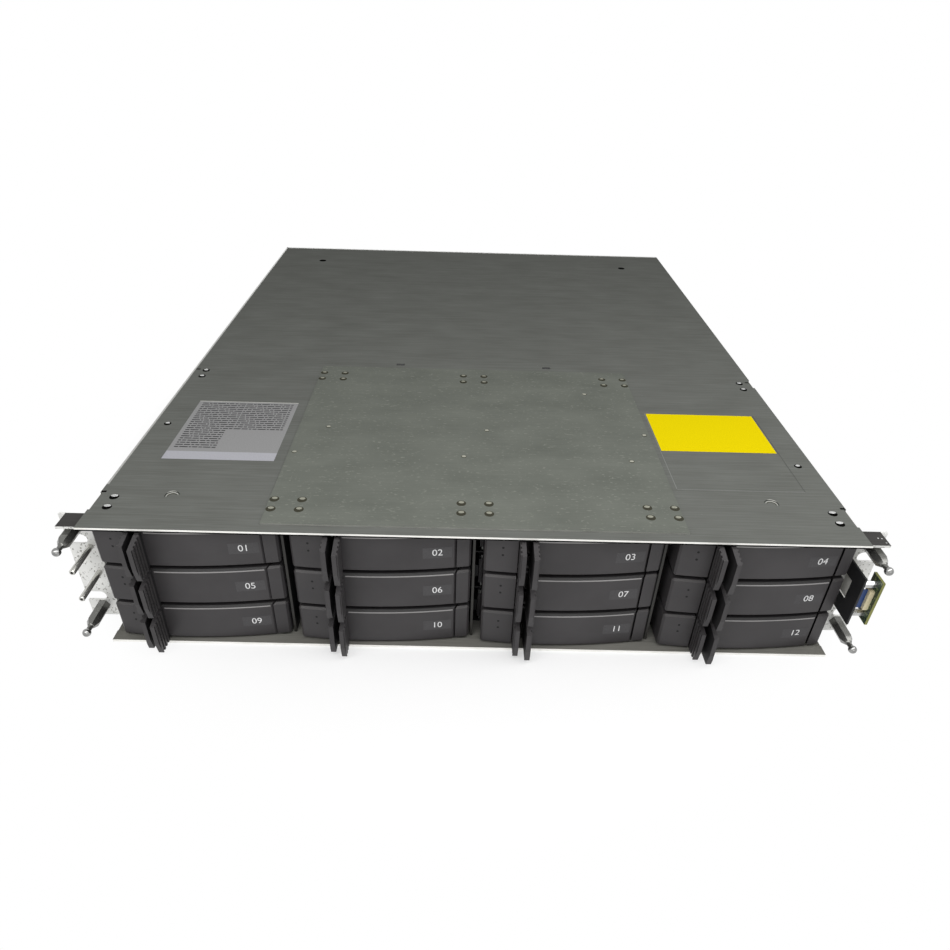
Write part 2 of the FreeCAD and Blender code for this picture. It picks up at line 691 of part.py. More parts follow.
def make_ribbon_cable():
    """Flat cable from the socket to the bracket, then back along it to the flange."""
    cable = body("ribbon_cable")
    run = level(cable, "ribbon_plan", board_middle - ribbon_width / 2)
    start = front + standoff_y - ribbon_sheet / 2
    near_side = bracket_face + seat_gap
    outline(run, [
        (board_face - socket_run, start), (board_face - socket_run, start + ribbon_sheet),
        (near_side + ribbon_sheet, start + ribbon_sheet),
        (near_side + ribbon_sheet, ear_face), (near_side, ear_face), (near_side, start)])
    pad(cable, run, ribbon_width)
    return cable


# Carrier moulding: lamp panel, throat, front wall, bezel end, seats of release and lever pin
def make_moulding():
    carrier = body("carrier_moulding")
    wall = level(carrier, "carrier_wall")
    rectangle(wall, 0, wall_y, bezel_width, tray_y)
    pad(carrier, wall, bezel_height)
    panel = level(carrier, "carrier_panel")
    outline(
        panel,
        [(0, wall_y), (0, bow(Size("0", 0))), (panel_width, bow(panel_width)),
         (panel_width, wall_y)],
        {1: (bow_radius, 1)})
    pad(carrier, panel, bezel_height)
    end = level(carrier, "carrier_end")
    end_front = bow(lever_right + lever_seam)
    end_rise = pivot_y - end_front
    end_left = pivot_x + root(end_radius * end_radius - end_rise * end_rise)
    waist = pivot_x + end_radius
    outline(
        end,
        [(bezel_width, wall_y), (waist, wall_y), (waist, pivot_y), (end_left, end_front),
         (bezel_width, bow(bezel_width))],
        {2: (end_radius, -1), 3: (bow_radius, 1)})
    pad(carrier, end, bezel_height)
    for name, low in (("floor", 0), ("roof", bezel_height - wall_thick)):
        throat = level(carrier, f"carrier_throat_{name}", low)
        rectangle(throat, panel_width, front + throat_setback, lever_left - seat_gap, wall_y)
        pad(carrier, throat, wall_thick)
    lug = level(carrier, "carrier_lug", (bezel_height - knuckle_height) / 2)
    outline(lug, [
        (pivot_x - knuckle_radius, wall_y), (pivot_x - knuckle_radius, pivot_y),
        (pivot_x - knuckle_nose, pivot_y - knuckle_radius + seat_gap),
        (pivot_x + knuckle_nose, pivot_y - knuckle_radius + seat_gap),
        (pivot_x + knuckle_radius, pivot_y), (pivot_x + knuckle_radius, wall_y)])
    pad(carrier, lug, knuckle_height)
    seats = level(carrier, "carrier_pin_seat")
    half = pin_radius + pin_fit
    rectangle(seats, pivot_x - half, pivot_y - half, pivot_x + half, pivot_y + half)
    sink(carrier, seats, bezel_height)
    groove = level(carrier, "carrier_release_seat", wall_thick)
    half = paddle_web / 2 + seat_gap
    rectangle(groove, release_x - half, wall_y, release_x + half, tray_y)
    last = sink(carrier, groove, bezel_height - wall_thick * 2)

    def outer_rim(edge):
        box_of = edge.BoundBox
        flat = near(box_of.ZMax, 0) or near(box_of.ZMin, bezel_height)
        at_end = near(box_of.XMax, 0) or near(box_of.XMin, bezel_width)
        upright = at_end and near(box_of.ZLength, bezel_height) and box_of.YMax < value_of(wall_y)
        return flat and (is_bow(edge) or at_end) or upright

    carrier.Tip = bevel_edges(carrier, last, bezel_bevel, outer_rim)
    return carrier


def make_tray():
    """Steel tray: two rails and a plate behind the moulding's front wall."""
    tray = body("carrier_tray")
    end = plug_y + rail_tail
    rails = level(tray, "tray_plan", rail_low)
    outline(rails, [
        (tray_left, tray_y), (tray_right, tray_y), (tray_right, end), (tray_right - rail, end),
        (tray_right - rail, disk_y), (tray_left + rail, disk_y), (tray_left + rail, end),
        (tray_left, end)])
    pad(tray, rails, rail_height)
    return tray


def make_disk():
    left = tray_left + rail
    width = tray_right - rail - left
    casting = box("disk_casting", (left, disk_y, 0), (width, disk_length, disk_height - disk_lid))
    lid = box(
        "disk_top", (left + disk_lid_inset, disk_y + disk_lid_inset, disk_height - disk_lid),
        (width - disk_lid_inset * 2, disk_length - disk_lid_inset * 2, disk_lid))
    return fuse("disk", [casting, lid])


def make_adapter():
    holder = box(
        "adapter_block", (adapter_x, adapter_y, rail_low),
        (adapter_width, adapter_run, adapter_height))
    nose = box("adapter_plug", (plug_x, plug_y, plug_low), (plug_width, plug_run, plug_height))
    return fuse("adapter", [holder, nose])


# Paddles: ribbed plates standing forward, with a falling top edge and a tapered toe
def paddle_outline(drawing, smooth_x, sign, root_y, tip):
    """Plan of a paddle: smooth face at smooth_x, ribs on the side given by sign."""
    web_x = smooth_x + paddle_web * sign
    crest_x = web_x + rib_height * sign
    corners = [(smooth_x, root_y), (smooth_x, tip), (web_x, tip)]
    for step in range(RIBS):
        start = tip + rib_first + rib_pitch * step
        corners += [(web_x, start), (crest_x, start), (crest_x, start + rib_width),
                    (web_x, start + rib_width)]
    corners.append((web_x, root_y))
    return outline(drawing, corners)


def trim_paddle(owner, name, middle_x, tip):
    """Slopes the top edge of a paddle and tapers its toe."""
    side_view = sketch(owner, name, "YZ_Plane", middle_x)
    outline(side_view, [
        (tip, paddle_toe_rise), (tip + paddle_toe_back, 0), (tip - seat_gap, 0),
        (tip - seat_gap, bezel_height), (tip + paddle_drop_run, bezel_height),
        (tip, bezel_height - paddle_drop)])
    return pocket(owner, side_view, paddle_web * 4, both_ways=True)


def make_lever():
    lever = body("carrier_lever")
    heel_y = pivot_y + pin_radius + heel_wall
    heel_x = pivot_x - knuckle_radius - lever_skin
    heel_end = pivot_x + root(seam_radius * seam_radius - (heel_y - pivot_y) * (heel_y - pivot_y))
    blade = level(lever, "lever_plan")
    outline(
        blade,
        [(lever_left, bow(lever_left)), (lever_right, bow(lever_right)), (heel_end, heel_y),
         (heel_x, heel_y), (heel_x - lever_skin, front + lever_rear),
         (lever_left, front + lever_rear)],
        {0: (bow_radius, 1), 1: (seam_radius, 1)})
    solid = pad(lever, blade, bezel_height)

    def front_rim(edge):
        box_of = edge.BoundBox
        flat = near(box_of.ZMax, 0) or near(box_of.ZMin, bezel_height)
        return flat and is_bow(edge)

    bevel_edges(lever, solid, bezel_bevel, front_rim)
    paddle = level(lever, "lever_paddle", paddle_trim)
    paddle_outline(paddle, lever_left, 1, front + lever_rear, front - paddle_tip)
    pad(lever, paddle, bezel_height - paddle_trim * 2)
    hollow = level(lever, "lever_hollow", lever_skin)
    left = lever_left + paddle_web + lever_skin
    right = heel_x - lever_skin * 2
    outline(hollow, [
        (left, bow(left) + lever_skin), (right, bow(right) + lever_skin),
        (right, front + lever_rear), (left, front + lever_rear)])
    sink(lever, hollow, bezel_height - lever_skin * 2)
    relief_low = (bezel_height - knuckle_height) / 2 - swing_gap
    relief = level(lever, "lever_relief", relief_low)
    around = knuckle_radius + swing_gap
    rectangle(
        relief, pivot_x - around, pivot_y - around, pivot_x + seam_radius + swing_gap,
        heel_y + swing_gap)
    sink(lever, relief, knuckle_height + swing_gap * 2)
    pin = level(lever, "lever_pin", relief_low)
    circle(pin, pivot_x, pivot_y, pin_radius)
    pad(lever, pin, knuckle_height + swing_gap * 2)
    lever.Tip = trim_paddle(
        lever, "lever_trim", lever_left + paddle_web / 2, front - paddle_tip)
    return lever


def make_release():
    """Ribbed paddle on an arm whose round end turns in its seat in the carrier's front wall."""
    release = body("carrier_release")
    heel_y = front + throat_setback - wall_thick / 2
    paddle = level(release, "release_paddle", paddle_trim)
    paddle_outline(paddle, release_right, -1, heel_y, front - release_tip)
    pad(release, paddle, bezel_height - paddle_trim * 2)
    arm_low = wall_thick + seat_gap
    arm_height = bezel_height - arm_low * 2
    arm = level(release, "release_arm", arm_low)
    left, right, half = release_x - paddle_web / 2, release_x + paddle_web / 2, paddle_web / 2
    outline(
        arm,
        [(left, heel_y - wall_thick), (right, heel_y - wall_thick), (right, release_y),
         (release_x, release_y + half), (left, release_y)],
        {2: (half, 1), 3: (half, 1)})
    pad(release, arm, arm_height)
    release.Tip = trim_paddle(release, "release_trim", release_x, front - release_tip)
    return release


# Drive cage: dividers and side liners with runner ledges and side guides
def make_divider(name, sides, carrier_gap, start_y, top):
    """Upright sheet with ledges and guides on the given sides; x is 0 at its middle."""
    wall = body(name)
    half = divider / 2
    upright = level(wall, f"{name}_sheet", steel)
    rectangle(upright, -half, start_y, half, port_y)
    pad(wall, upright, top - steel)
    runners = sketch(wall, f"{name}_runners", "XZ_Plane", -runner_y)
    for side in sides:
        for row in range(ROWS):
            low = first_row + row_pitch * row
            reach = (carrier_gap + ledge_reach) * side
            guide = (carrier_gap - guide_gap) * side
            strip(runners, reach, half * side, low - runner_gap - ledge, low - runner_gap)
            strip(runners, guide, half * side, low + guide_low, low + guide_low + guide_height)
    wall.Tip = pad(wall, runners, port_y - runner_y, back=True)
    return wall


def make_cage():
    divider_y = front + cage_setback
    between = make_divider("cage_divider", (-1, 1), column_gap / 2, divider_y, ceiling)
    pieces = [group(f"cage_divider_{n}", [between], column_pitch * n) for n in (-1, 0, 1)]
    liner_x = inner_half - divider / 2
    outer_gap = liner_x - (column_pitch * (COLUMNS - 1) / 2 + bezel_width / 2)
    for side, hand in ((-1, "left"), (1, "right")):
        liner = make_divider(f"cage_liner_{hand}", (-side,), outer_gap, runner_y, shoulder)
        pieces.append(group(f"cage_liner_{hand}_set", [liner], liner_x * side))
    return group("drive_cage", pieces)


# Midplane: board with air slots and tabs, and one socket for each carrier
def make_midplane():
    low = steel + seat_gap
    height = shoulder - seat_gap - low
    board = body("midplane_board")
    face = sketch(board, "midplane_face", "XZ_Plane", -midplane_y)
    half_tab = tab_run / 2
    tab_at = tab_spread / 2
    top = low + height
    outline(face, [
        (-board_half, low), (board_half, low), (board_half, top), (tab_at + half_tab, top),
        (tab_at + half_tab, chassis_height), (tab_at - half_tab, chassis_height),
        (tab_at - half_tab, top), (-tab_at + half_tab, top), (-tab_at + half_tab, chassis_height),
        (-tab_at - half_tab, chassis_height), (-tab_at - half_tab, top), (-board_half, top)])
    pad(board, face, midplane_sheet, back=True)
    slots = sketch(board, "midplane_slots", "XZ_Plane", -midplane_y)
    for column in range(COLUMNS):
        middle = column_pitch * (column - (COLUMNS - 1) / 2)
        for row in range(ROWS - 1):
            base = first_row + row_pitch * row + plug_low + plug_height
            upper = base + row_pitch - plug_height
            start = (base + upper - vent_tall) / 2
            rectangle(
                slots, middle - vent_long / 2, start, middle + vent_long / 2, start + vent_tall)
    board.Tip = pocket(board, slots, midplane_sheet)
    pieces = [board]
    shell = box(
        "port_block", (plug_x - port_wall, port_y, plug_low - port_wall),
        (plug_width + port_wall * 2, port_run, plug_height + port_wall * 2))
    mouth = box(
        "port_mouth", (plug_x - runner_gap, port_y, plug_low - runner_gap),
        (plug_width + runner_gap * 2, port_run / 2, plug_height + runner_gap * 2))
    port = cut("port", shell, [mouth])
    for bay, x, z in bays():
        pieces.append(group(f"port_{bay:02d}", [port], x, 0, z))
    return group("midplane", pieces)


def bays():
    """Bay number with the place of its bezel's lower left corner, top row first."""
    for row in range(ROWS):
        for column in range(COLUMNS):
            x = column_pitch * (column - (COLUMNS - 1) / 2) - bezel_width / 2 + tray_offset
            z = first_row + row_pitch * (ROWS - 1 - row)
            yield row * COLUMNS + column + 1, x, z


# Rear partitions and the shelf between the canisters
def make_module_frame():
    start = midplane_y + midplane_sheet + module_gap
    run = rear - start
    height = ceiling - steel
    pieces = []
    for name, x in (("left", -partition_x - steel), ("right", partition_x)):
        pieces.append(box(f"partition_{name}", (x, start, steel), (steel, run, height)))
    shelf_z = steel + (height - steel) / 2
    pieces.append(box("shelf", (-partition_x, start, shelf_z), (partition_x * 2, run, steel)))
    return group("module_frame", pieces)


# Power supply: open-front case, square fan frame, guard bars, inlet and bail lugs
def make_supply():
    outer = box("supply_block", (0, module_y, 0), (supply_width, module_run, supply_height))
    inner = box(
        "supply_space", (module_wall, module_y, module_wall),
        (supply_width - module_wall * 2, module_run - panel_thick, supply_height - module_wall * 2))
    window = rod("supply_window", (fan_inset, panel_y, fan_z), fan_radius, panel_thick, (0, 1, 0))
    hole = box(
        "supply_inlet_hole", (inlet_x, panel_y, inlet_low),
        (inlet_width, panel_thick, inlet_height))
    case = cut("supply_shell", outer, [inner, window, hole])
    frame_y = panel_y - fan_run
    reach = fan_radius + frame_wall
    block = box(
        "fan_block", (fan_inset - reach, frame_y, fan_z - reach), (reach * 2, fan_run, reach * 2))
    bore = rod("fan_bore", (fan_inset, frame_y, fan_z), fan_radius, fan_run, (0, 1, 0))
    frame = cut("fan_frame", block, [bore])
    strut = box(
        "fan_strut", (fan_inset - reach, frame_y, fan_z - strut_width / 2),
        (reach * 2, strut_width, strut_width))
    shaft = rod(
        "fan_shaft", (fan_inset, frame_y + strut_width, fan_z), shaft_radius, rotor_run + seat_gap,
        (0, 1, 0))
    guard = []
    for step in range(GUARD_BARS):
        height = fan_radius * 2 / (GUARD_BARS + 1) * (step - (GUARD_BARS - 1) / 2)
        guard.append(box(
            f"guard_bar_{step + 1}",
            (fan_inset - fan_radius, rear - guard_sheet, fan_z + height - guard_bar / 2),
            (fan_radius * 2, guard_sheet, guard_bar)))
    pot = box(
        "inlet_block", (inlet_x - module_wall, panel_y - inlet_depth, inlet_low - module_wall),
        (inlet_width + module_wall * 2, inlet_depth, inlet_height + module_wall * 2))
    cup = box(
        "inlet_cup", (inlet_x, panel_y - inlet_depth + module_wall, inlet_low),
        (inlet_width, inlet_depth - module_wall, inlet_height))
    inlet = cut("inlet", pot, [cup])
    blades = []
    for step in (-1, 0, 1):
        drop = -blade_pin_height / 2 if step else blade_pin_height / 2
        blades.append(box(
            f"inlet_blade_{step + 2}",
            (inlet_x + inlet_width / 2 + blade_pin_spread * step - blade_pin / 2,
             panel_y - inlet_depth + module_wall,
             inlet_low + inlet_height / 2 + drop - blade_pin_height / 2),
            (blade_pin, inlet_depth - module_wall * 3, blade_pin_height)))
    lugs = []
    inside = bail_width / 2 - bail_bar - lug_gap
    lug_low = bail_axis_low - bail_bar / 2
    for name, left, way in (("left", -inside, -1), ("right", inside - lug_thick, 1)):
        lug = box(
            f"bail_lug_{name}", (bail_x + left, rear, lug_low),
            (lug_thick, bail_bar + lug_gap, bail_bar))
        pin = rod(
            f"bail_pin_{name}", (bail_x + inside * way, bail_y, bail_axis_low), bail_pin,
            lug_gap + bail_bar, (way, 0, 0))
        lugs += [lug, pin]
    return fuse("supply", [case, frame, strut, shaft, inlet] + guard + blades + lugs)


def make_bail():
    """Fold-down grip: two arms with round ends on the pin and a bar between their tops."""
    near_y = bail_y - bail_bar / 2
    pieces = []
    for name, left in (("left", -bail_width / 2), ("right", bail_width / 2 - bail_bar)):
        x = bail_x + left
        pieces.append(box(
            f"bail_arm_{name}", (x, near_y, bail_axis_low), (bail_bar, bail_bar, bail_reach)))
        pieces.append(rod(
            f"bail_end_{name}", (x, bail_y, bail_axis_low), bail_bar / 2, bail_bar, (1, 0, 0)))
    pieces.append(box(
        "bail_grip", (bail_x - bail_width / 2, near_y, bail_axis_low + bail_reach - bail_bar),
        (bail_width, bail_bar, bail_bar)))
    hole = rod(
        "bail_hole", (bail_x - bail_width / 2, bail_y, bail_axis_low), bail_pin + pin_fit,
        bail_width, (1, 0, 0))
    return cut("bail", fuse("bail_frame", pieces), [hole])


def make_rotor():
    """Fan rotor: hub with pitched blades about the Y axis, turning on the shaft."""
    rotor = body("rotor")
    hub = sketch(rotor, "rotor_hub", "XZ_Plane")
    circle(hub, 0, 0, rotor_hub)
    pad(rotor, hub, rotor_run, back=True)
    section = level(rotor, "rotor_blade", rotor_hub - blade_root)
    lean = rotor_run / 2
    outline(section, [
        (-lean, blade_inset), (-lean + blade_sheet, blade_inset), (lean, rotor_run - blade_inset),
        (lean - blade_sheet, rotor_run - blade_inset)])
    tip = root((fan_radius - rotor_gap) * (fan_radius - rotor_gap) - lean * lean)
    blade = pad(rotor, section, tip - rotor_hub + blade_root)
    doc.recompute()
    ring = rotor.newObject("PartDesign::PolarPattern", "rotor_blades")
    ring.Originals = [blade]
    axis = next(f for f in rotor.Origin.OriginFeatures if f.Role == "Y_Axis")
    ring.Axis = (axis, [""])
    ring.Angle = 360
    ring.Occurrences = BLADES
    rotor.Tip = ring
    bore = sketch(rotor, "rotor_bore", "XZ_Plane")
    circle(bore, 0, 0, shaft_radius + pin_fit)
    rotor.Tip = pocket(rotor, bore, rotor_run)
    return rotor


# Controller canister: open-front case, ports, vents and lever lugs
def make_canister():
    left = -canister_width / 2
    outer = box("canister_block", (left, module_y, 0), (canister_width, module_run, canister_height))
    inner = box(
        "canister_space", (left + module_wall, module_y, module_wall),
        (canister_width - module_wall * 2, module_run - panel_thick,
         canister_height - module_wall * 2))
    openings = [inner]
    pots = []
    sizes = ((-1.5, port_width, port_height), (-0.5, port_width, port_height),
             (0.5, jack_width, jack_height), (1.5, jack_width, jack_height))
    for number, (step, width, height) in enumerate(sizes, 1):
        x = port_spacing * step - width / 2
        openings.append(box(
            f"port_hole_{number}", (x, panel_y, port_low), (width, panel_thick, height)))
        block = box(
            f"port_pot_{number}", (x - module_wall, panel_y - port_depth, port_low - module_wall),
            (width + module_wall * 2, port_depth, height + module_wall * 2))
        space = box(
            f"port_cup_{number}", (x, panel_y - port_depth + module_wall, port_low),
            (width, port_depth - module_wall, height))
        pots.append(cut(f"port_shell_{number}", block, [space]))
    for step in range(CANISTER_VENTS):
        x = vent_slot_pitch * (step - (CANISTER_VENTS - 1) / 2) - vent_slot / 2
        openings.append(box(
            f"canister_vent_{step + 1}", (x, panel_y, port_low + jack_height + port_wall * 2),
            (vent_slot, panel_thick, vent_slot_run)))
    case = cut("canister_shell", outer, openings)
    lugs = []
    for side, name in ((-1, "left"), (1, "right")):
        x = (canister_width / 2 - latch_inset) * side
        for tier, low in (("low", latch_low - lug_gap - lug_thick),
                          ("high", latch_low + latch_height + lug_gap)):
            lugs.append(box(
                f"latch_lug_{name}_{tier}", (x - latch_thick / 2, rear, low),
                (latch_thick, latch_standoff + latch_thick / 2, lug_thick)))
        lugs.append(rod(
            f"latch_pin_{name}", (x, latch_y, latch_low - lug_gap - lug_thick), latch_pin,
            latch_height + (lug_gap + lug_thick) * 2))
    return fuse("canister", [case] + pots + lugs)


def make_latch(side, name):
    """Canister lever: knuckle on its pin, arm lying along the panel, upturned grip."""
    latch = body(name)
    x = (canister_width / 2 - latch_inset) * side
    inward = -side
    half = latch_thick / 2
    arm = level(latch, f"{name}_arm", latch_low)
    outline(arm, [
        (x, latch_y - half), (x + latch_run * inward, latch_y - half),
        (x + latch_run * inward, latch_y + latch_thick),
        (x + (latch_run - latch_thick) * inward, latch_y + latch_thick),
        (x + (latch_run - latch_thick) * inward, latch_y + half), (x, latch_y + half)])
    pad(latch, arm, latch_height)
    knuckle = level(latch, f"{name}_knuckle", latch_low)
    circle(knuckle, x, latch_y, half + pin_fit)
    pad(latch, knuckle, latch_height)
    bore = level(latch, f"{name}_bore")
    circle(bore, x, latch_y, latch_pin + pin_fit)
    latch.Tip = sink(latch, bore, canister_height)
    return latch


def make_all():
    """Every sub-part, under the name of its file."""
    parts = {
        "base_tray": make_base_tray(),
        "top_cover": make_top_cover(),
        "top_plate": make_top_plate(),
        "left_ear": make_ear(-1, "left_ear"),
        "right_ear": make_ear(1, "right_ear"),
        "ear_studs": make_ear_studs(),
        "panel_bracket": make_panel_bracket(),
        "panel_board": make_panel_board(),
        "ribbon_cable": make_ribbon_cable(),
        "drive_cage": make_cage(),
        "midplane": make_midplane(),
        "module_frame": make_module_frame(),
    }
    fixed = [make_moulding(), make_tray(), make_disk(), make_adapter()]
    lever = make_lever()
    release = make_release()
    for bay, x, z in bays():
        for suffix, pieces in (("carrier", fixed), ("lever", [lever]), ("release", [release])):
            name = f"drive_{bay:02d}_{suffix}"
            parts[name] = group(name, pieces, x, 0, z)
    supply, bail, rotor = make_supply(), make_bail(), make_rotor()
    for hand, x in (("left", -inner_half + module_gap), ("right", partition_x + steel + module_gap)):
        z = steel + module_gap
        parts[f"psu_{hand}"] = group(f"psu_{hand}", [supply], x, 0, z)
        parts[f"psu_{hand}_handle"] = group(f"psu_{hand}_handle", [bail], x, 0, z)
        parts[f"psu_{hand}_fan"] = group(
            f"psu_{hand}_fan", [rotor], x + fan_inset, rotor_y, z + fan_z)
    canister = make_canister()
    latches = {"left": make_latch(-1, "latch_left"), "right": make_latch(1, "latch_right")}
    upper = steel + canister_height + module_gap * 2 + steel + module_gap
    for tier, z in (("lower", steel + module_gap), ("upper", upper)):
        parts[f"io_{tier}"] = group(f"io_{tier}", [canister], 0, 0, z)
        for hand, latch in latches.items():
            name = f"io_{tier}_lever_{hand}"
            parts[name] = group(name, [latch], 0, 0, z)
    return parts


def export(parts):
    doc.recompute()
    for thing in doc.Objects:
        if {"Invalid", "Error"} & set(thing.State):
            raise RuntimeError(f"{thing.Name} failed: {thing.State}")
    os.makedirs("parts", exist_ok=True)
    for name, thing in parts.items():
        thing.Label = name
        if thing.Shape.isNull() or not thing.Shape.isValid():
            raise RuntimeError(f"{name} has no valid shape")
    for name, thing in parts.items():
        thing.Shape.exportStep(f"parts/{name}.step")
        print(name, len(thing.Shape.Solids), round(thing.Shape.Volume))


export(make_all())
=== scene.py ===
# %% [markdown]
# # A rack storage array, dressed for the camera
# The solid model gives every piece its size, its place and the body it moves with. This lesson
# gives those pieces their finishes and adds the small things that a sheet-metal shop or a label
# printer would: rivets, press marks, foils, lamp holes and numbers. Blender counts in metres, and
# small details are written in millimetres and multiplied by MM.

# %% Load the solid model
import bpy
import math
from mathutils import Matrix, Vector


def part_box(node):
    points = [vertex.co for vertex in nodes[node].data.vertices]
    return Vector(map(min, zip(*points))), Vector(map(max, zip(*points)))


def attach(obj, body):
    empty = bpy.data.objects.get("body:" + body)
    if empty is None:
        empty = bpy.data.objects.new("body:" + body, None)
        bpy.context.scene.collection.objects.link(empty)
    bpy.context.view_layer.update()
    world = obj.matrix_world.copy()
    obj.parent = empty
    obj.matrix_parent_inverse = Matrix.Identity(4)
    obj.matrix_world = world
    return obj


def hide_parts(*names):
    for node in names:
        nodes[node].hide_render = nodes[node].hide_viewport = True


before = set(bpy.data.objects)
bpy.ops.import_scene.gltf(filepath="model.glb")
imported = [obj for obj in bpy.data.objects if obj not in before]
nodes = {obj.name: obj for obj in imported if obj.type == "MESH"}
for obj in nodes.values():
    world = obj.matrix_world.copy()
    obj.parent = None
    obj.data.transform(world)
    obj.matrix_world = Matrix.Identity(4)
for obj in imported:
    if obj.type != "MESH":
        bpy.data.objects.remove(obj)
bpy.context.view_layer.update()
MM = 0.001

# %% [markdown]
# ## Reference lines
# Details are placed the way a technician would measure them: from the cover's front edge, from
# the middle of the chassis, or from the lower left corner of a carrier. Reading those lines from
# the model keeps each detail on the surface that carries it.

# %% Reference lines
cover_low, cover_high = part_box("top_cover")
tray_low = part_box("base_tray")[0]
plate_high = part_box("top_plate")[1]
FRONT = cover_low.y
REAR = cover_high.y
COVER_TOP = cover_high.z
PLATE_TOP = plate_high.z
BAYS = [f"drive_{number:02d}" for number in range(1, 13)]


def on_cover(x, back, lift=0.0):
    """A point on the cover, in millimetres from its middle and from its front edge."""
    return Vector((x * MM, FRONT + back * MM, COVER_TOP + lift * MM))


print("front edge", round(FRONT, 4), "cover top", round(COVER_TOP, 4))

# %% [markdown]
# ## Camera
# The picture was taken by hand, so the camera tilts a little sideways and its axis does not pass
# exactly through the middle of the frame. Blender could aim with a Track To constraint, but that
# cannot hold the small roll. Three angles and a position, plus the lens shift, hold everything.

# %% Camera
CAMERA_PLACE = Vector((-0.0103, -0.6096, 0.3299))
PITCH, YAW, ROLL = (math.radians(a) for a in (34.89, -0.63, 1.71))
LENS = 27.36
SHIFT = (0.0115, 0.0389)

level = Matrix(((1, 0, 0), (0, 0, -1), (0, 1, 0)))
turn = (Matrix.Rotation(ROLL, 3, "Z") @ Matrix.Rotation(PITCH, 3, "X")
        @ Matrix.Rotation(YAW, 3, "Y"))
right, down, ahead = (turn @ level).row
camera = bpy.data.objects.new("camera", bpy.data.cameras.new("camera"))
bpy.context.scene.collection.objects.link(camera)
aim = Matrix((right, -down, -ahead)).transposed().to_4x4()
camera.matrix_world = Matrix.Translation(CAMERA_PLACE) @ aim
camera.data.lens = LENS
camera.data.shift_x, camera.data.shift_y = SHIFT
bpy.context.scene.camera = camera
print("camera looks along", [round(v, 3) for v in ahead])

# %% [markdown]
# ## Floor and light
# A product table is pale and its light comes from soft boxes. One lamp hangs above the front
# edge, so the cover grows darker towards its rear, and the paper in front throws light back on
# the carriers. A low lamp behind reaches only the rear modules, and an even sky fills the rest,
# at a level where a colour renders about as it is written. Away from the array the paper fades to
# white.

# %% Colour helper
def srgb(red, green, blue):
    """Linear colour from the 0 to 255 values a colour picker shows."""
    def linear(value):
        share = value / 255
        return share / 12.92 if share <= 0.04045 else ((share + 0.055) / 1.055) ** 2.4
    return tuple(linear(v) for v in (red, green, blue))


print("mid grey is", round(srgb(128, 128, 128)[0], 3))

# %% Floor
FLOOR_HALF = 30.0
PAPER = (0.93, 0.93, 0.93, 1)
FADE = (0.2, 0.42)
SIDEWAYS = 1.35

bpy.ops.mesh.primitive_plane_add(size=FLOOR_HALF * 2, location=(0, 0, tray_low.z))
floor = bpy.context.object
floor.name = "floor"
paper = bpy.data.materials.new("paper_sweep")
paper.use_nodes = True
tree = paper.node_tree
tree.nodes.clear()
output = tree.nodes.new("ShaderNodeOutputMaterial")
near_paper = tree.nodes.new("ShaderNodeBsdfDiffuse")
near_paper.inputs["Color"].default_value = PAPER
far_paper = tree.nodes.new("ShaderNodeEmission")
place = tree.nodes.new("ShaderNodeNewGeometry")
stretch = tree.nodes.new("ShaderNodeVectorMath")
stretch.operation = "MULTIPLY"
stretch.inputs[1].default_value = (SIDEWAYS, 1, 1)
distance = tree.nodes.new("ShaderNodeVectorMath")
distance.operation = "LENGTH"
fade = tree.nodes.new("ShaderNodeMapRange")
fade.inputs["From Min"].default_value, fade.inputs["From Max"].default_value = FADE
mix = tree.nodes.new("ShaderNodeMixShader")
tree.links.new(place.outputs["Position"], stretch.inputs[0])
tree.links.new(stretch.outputs["Vector"], distance.inputs[0])
tree.links.new(distance.outputs["Value"], fade.inputs["Value"])
tree.links.new(fade.outputs["Result"], mix.inputs["Fac"])
tree.links.new(near_paper.outputs["BSDF"], mix.inputs[1])
tree.links.new(far_paper.outputs["Emission"], mix.inputs[2])
tree.links.new(mix.outputs["Shader"], output.inputs["Surface"])
floor.data.materials.append(paper)
print("floor", FLOOR_HALF * 2, "m wide")

# %% Sky
SKY_LIGHT = 0.45
WHITE = (1, 1, 1, 1)

world = bpy.data.worlds.new("studio")
bpy.context.scene.world = world
world.use_nodes = True
tree = world.node_tree
sky = tree.nodes["Background"]
seen = tree.nodes.new("ShaderNodeBackground")
rays = tree.nodes.new("ShaderNodeLightPath")
shows = tree.nodes.new("ShaderNodeMath")
shows.operation = "MAXIMUM"
shows_too = tree.nodes.new("ShaderNodeMath")
shows_too.operation = "MAXIMUM"
mix = tree.nodes.new("ShaderNodeMixShader")
sky.inputs["Strength"].default_value = SKY_LIGHT
sky.inputs["Color"].default_value = WHITE
seen.inputs["Color"].default_value = WHITE
tree.links.new(rays.outputs["Is Camera Ray"], shows.inputs[0])
tree.links.new(rays.outputs["Is Glossy Ray"], shows.inputs[1])
tree.links.new(shows.outputs["Value"], shows_too.inputs[0])
tree.links.new(rays.outputs["Is Transmission Ray"], shows_too.inputs[1])
tree.links.new(shows_too.outputs["Value"], mix.inputs["Fac"])
tree.links.new(sky.outputs["Background"], mix.inputs[1])
tree.links.new(seen.outputs["Background"], mix.inputs[2])
tree.links.new(mix.outputs["Shader"], tree.nodes["World Output"].inputs["Surface"])
bpy.context.scene.view_settings.view_transform = "Standard"
print("sky light", SKY_LIGHT)

# %% Lamps
def soft_box(name, place, aim, size, watts):
    """A rectangular lamp, width by height in metres, turned towards a point."""
    lamp = bpy.data.lights.new(name, "AREA")
    lamp.shape = "RECTANGLE"
    lamp.size, lamp.size_y = size
    lamp.energy = watts
    box = bpy.data.objects.new(name, lamp)
    bpy.context.scene.collection.objects.link(box)
    box.location = place
    box.rotation_mode = "QUATERNION"
    box.rotation_quaternion = (Vector(aim) - Vector(place)).to_track_quat("-Z", "Y")
    return box


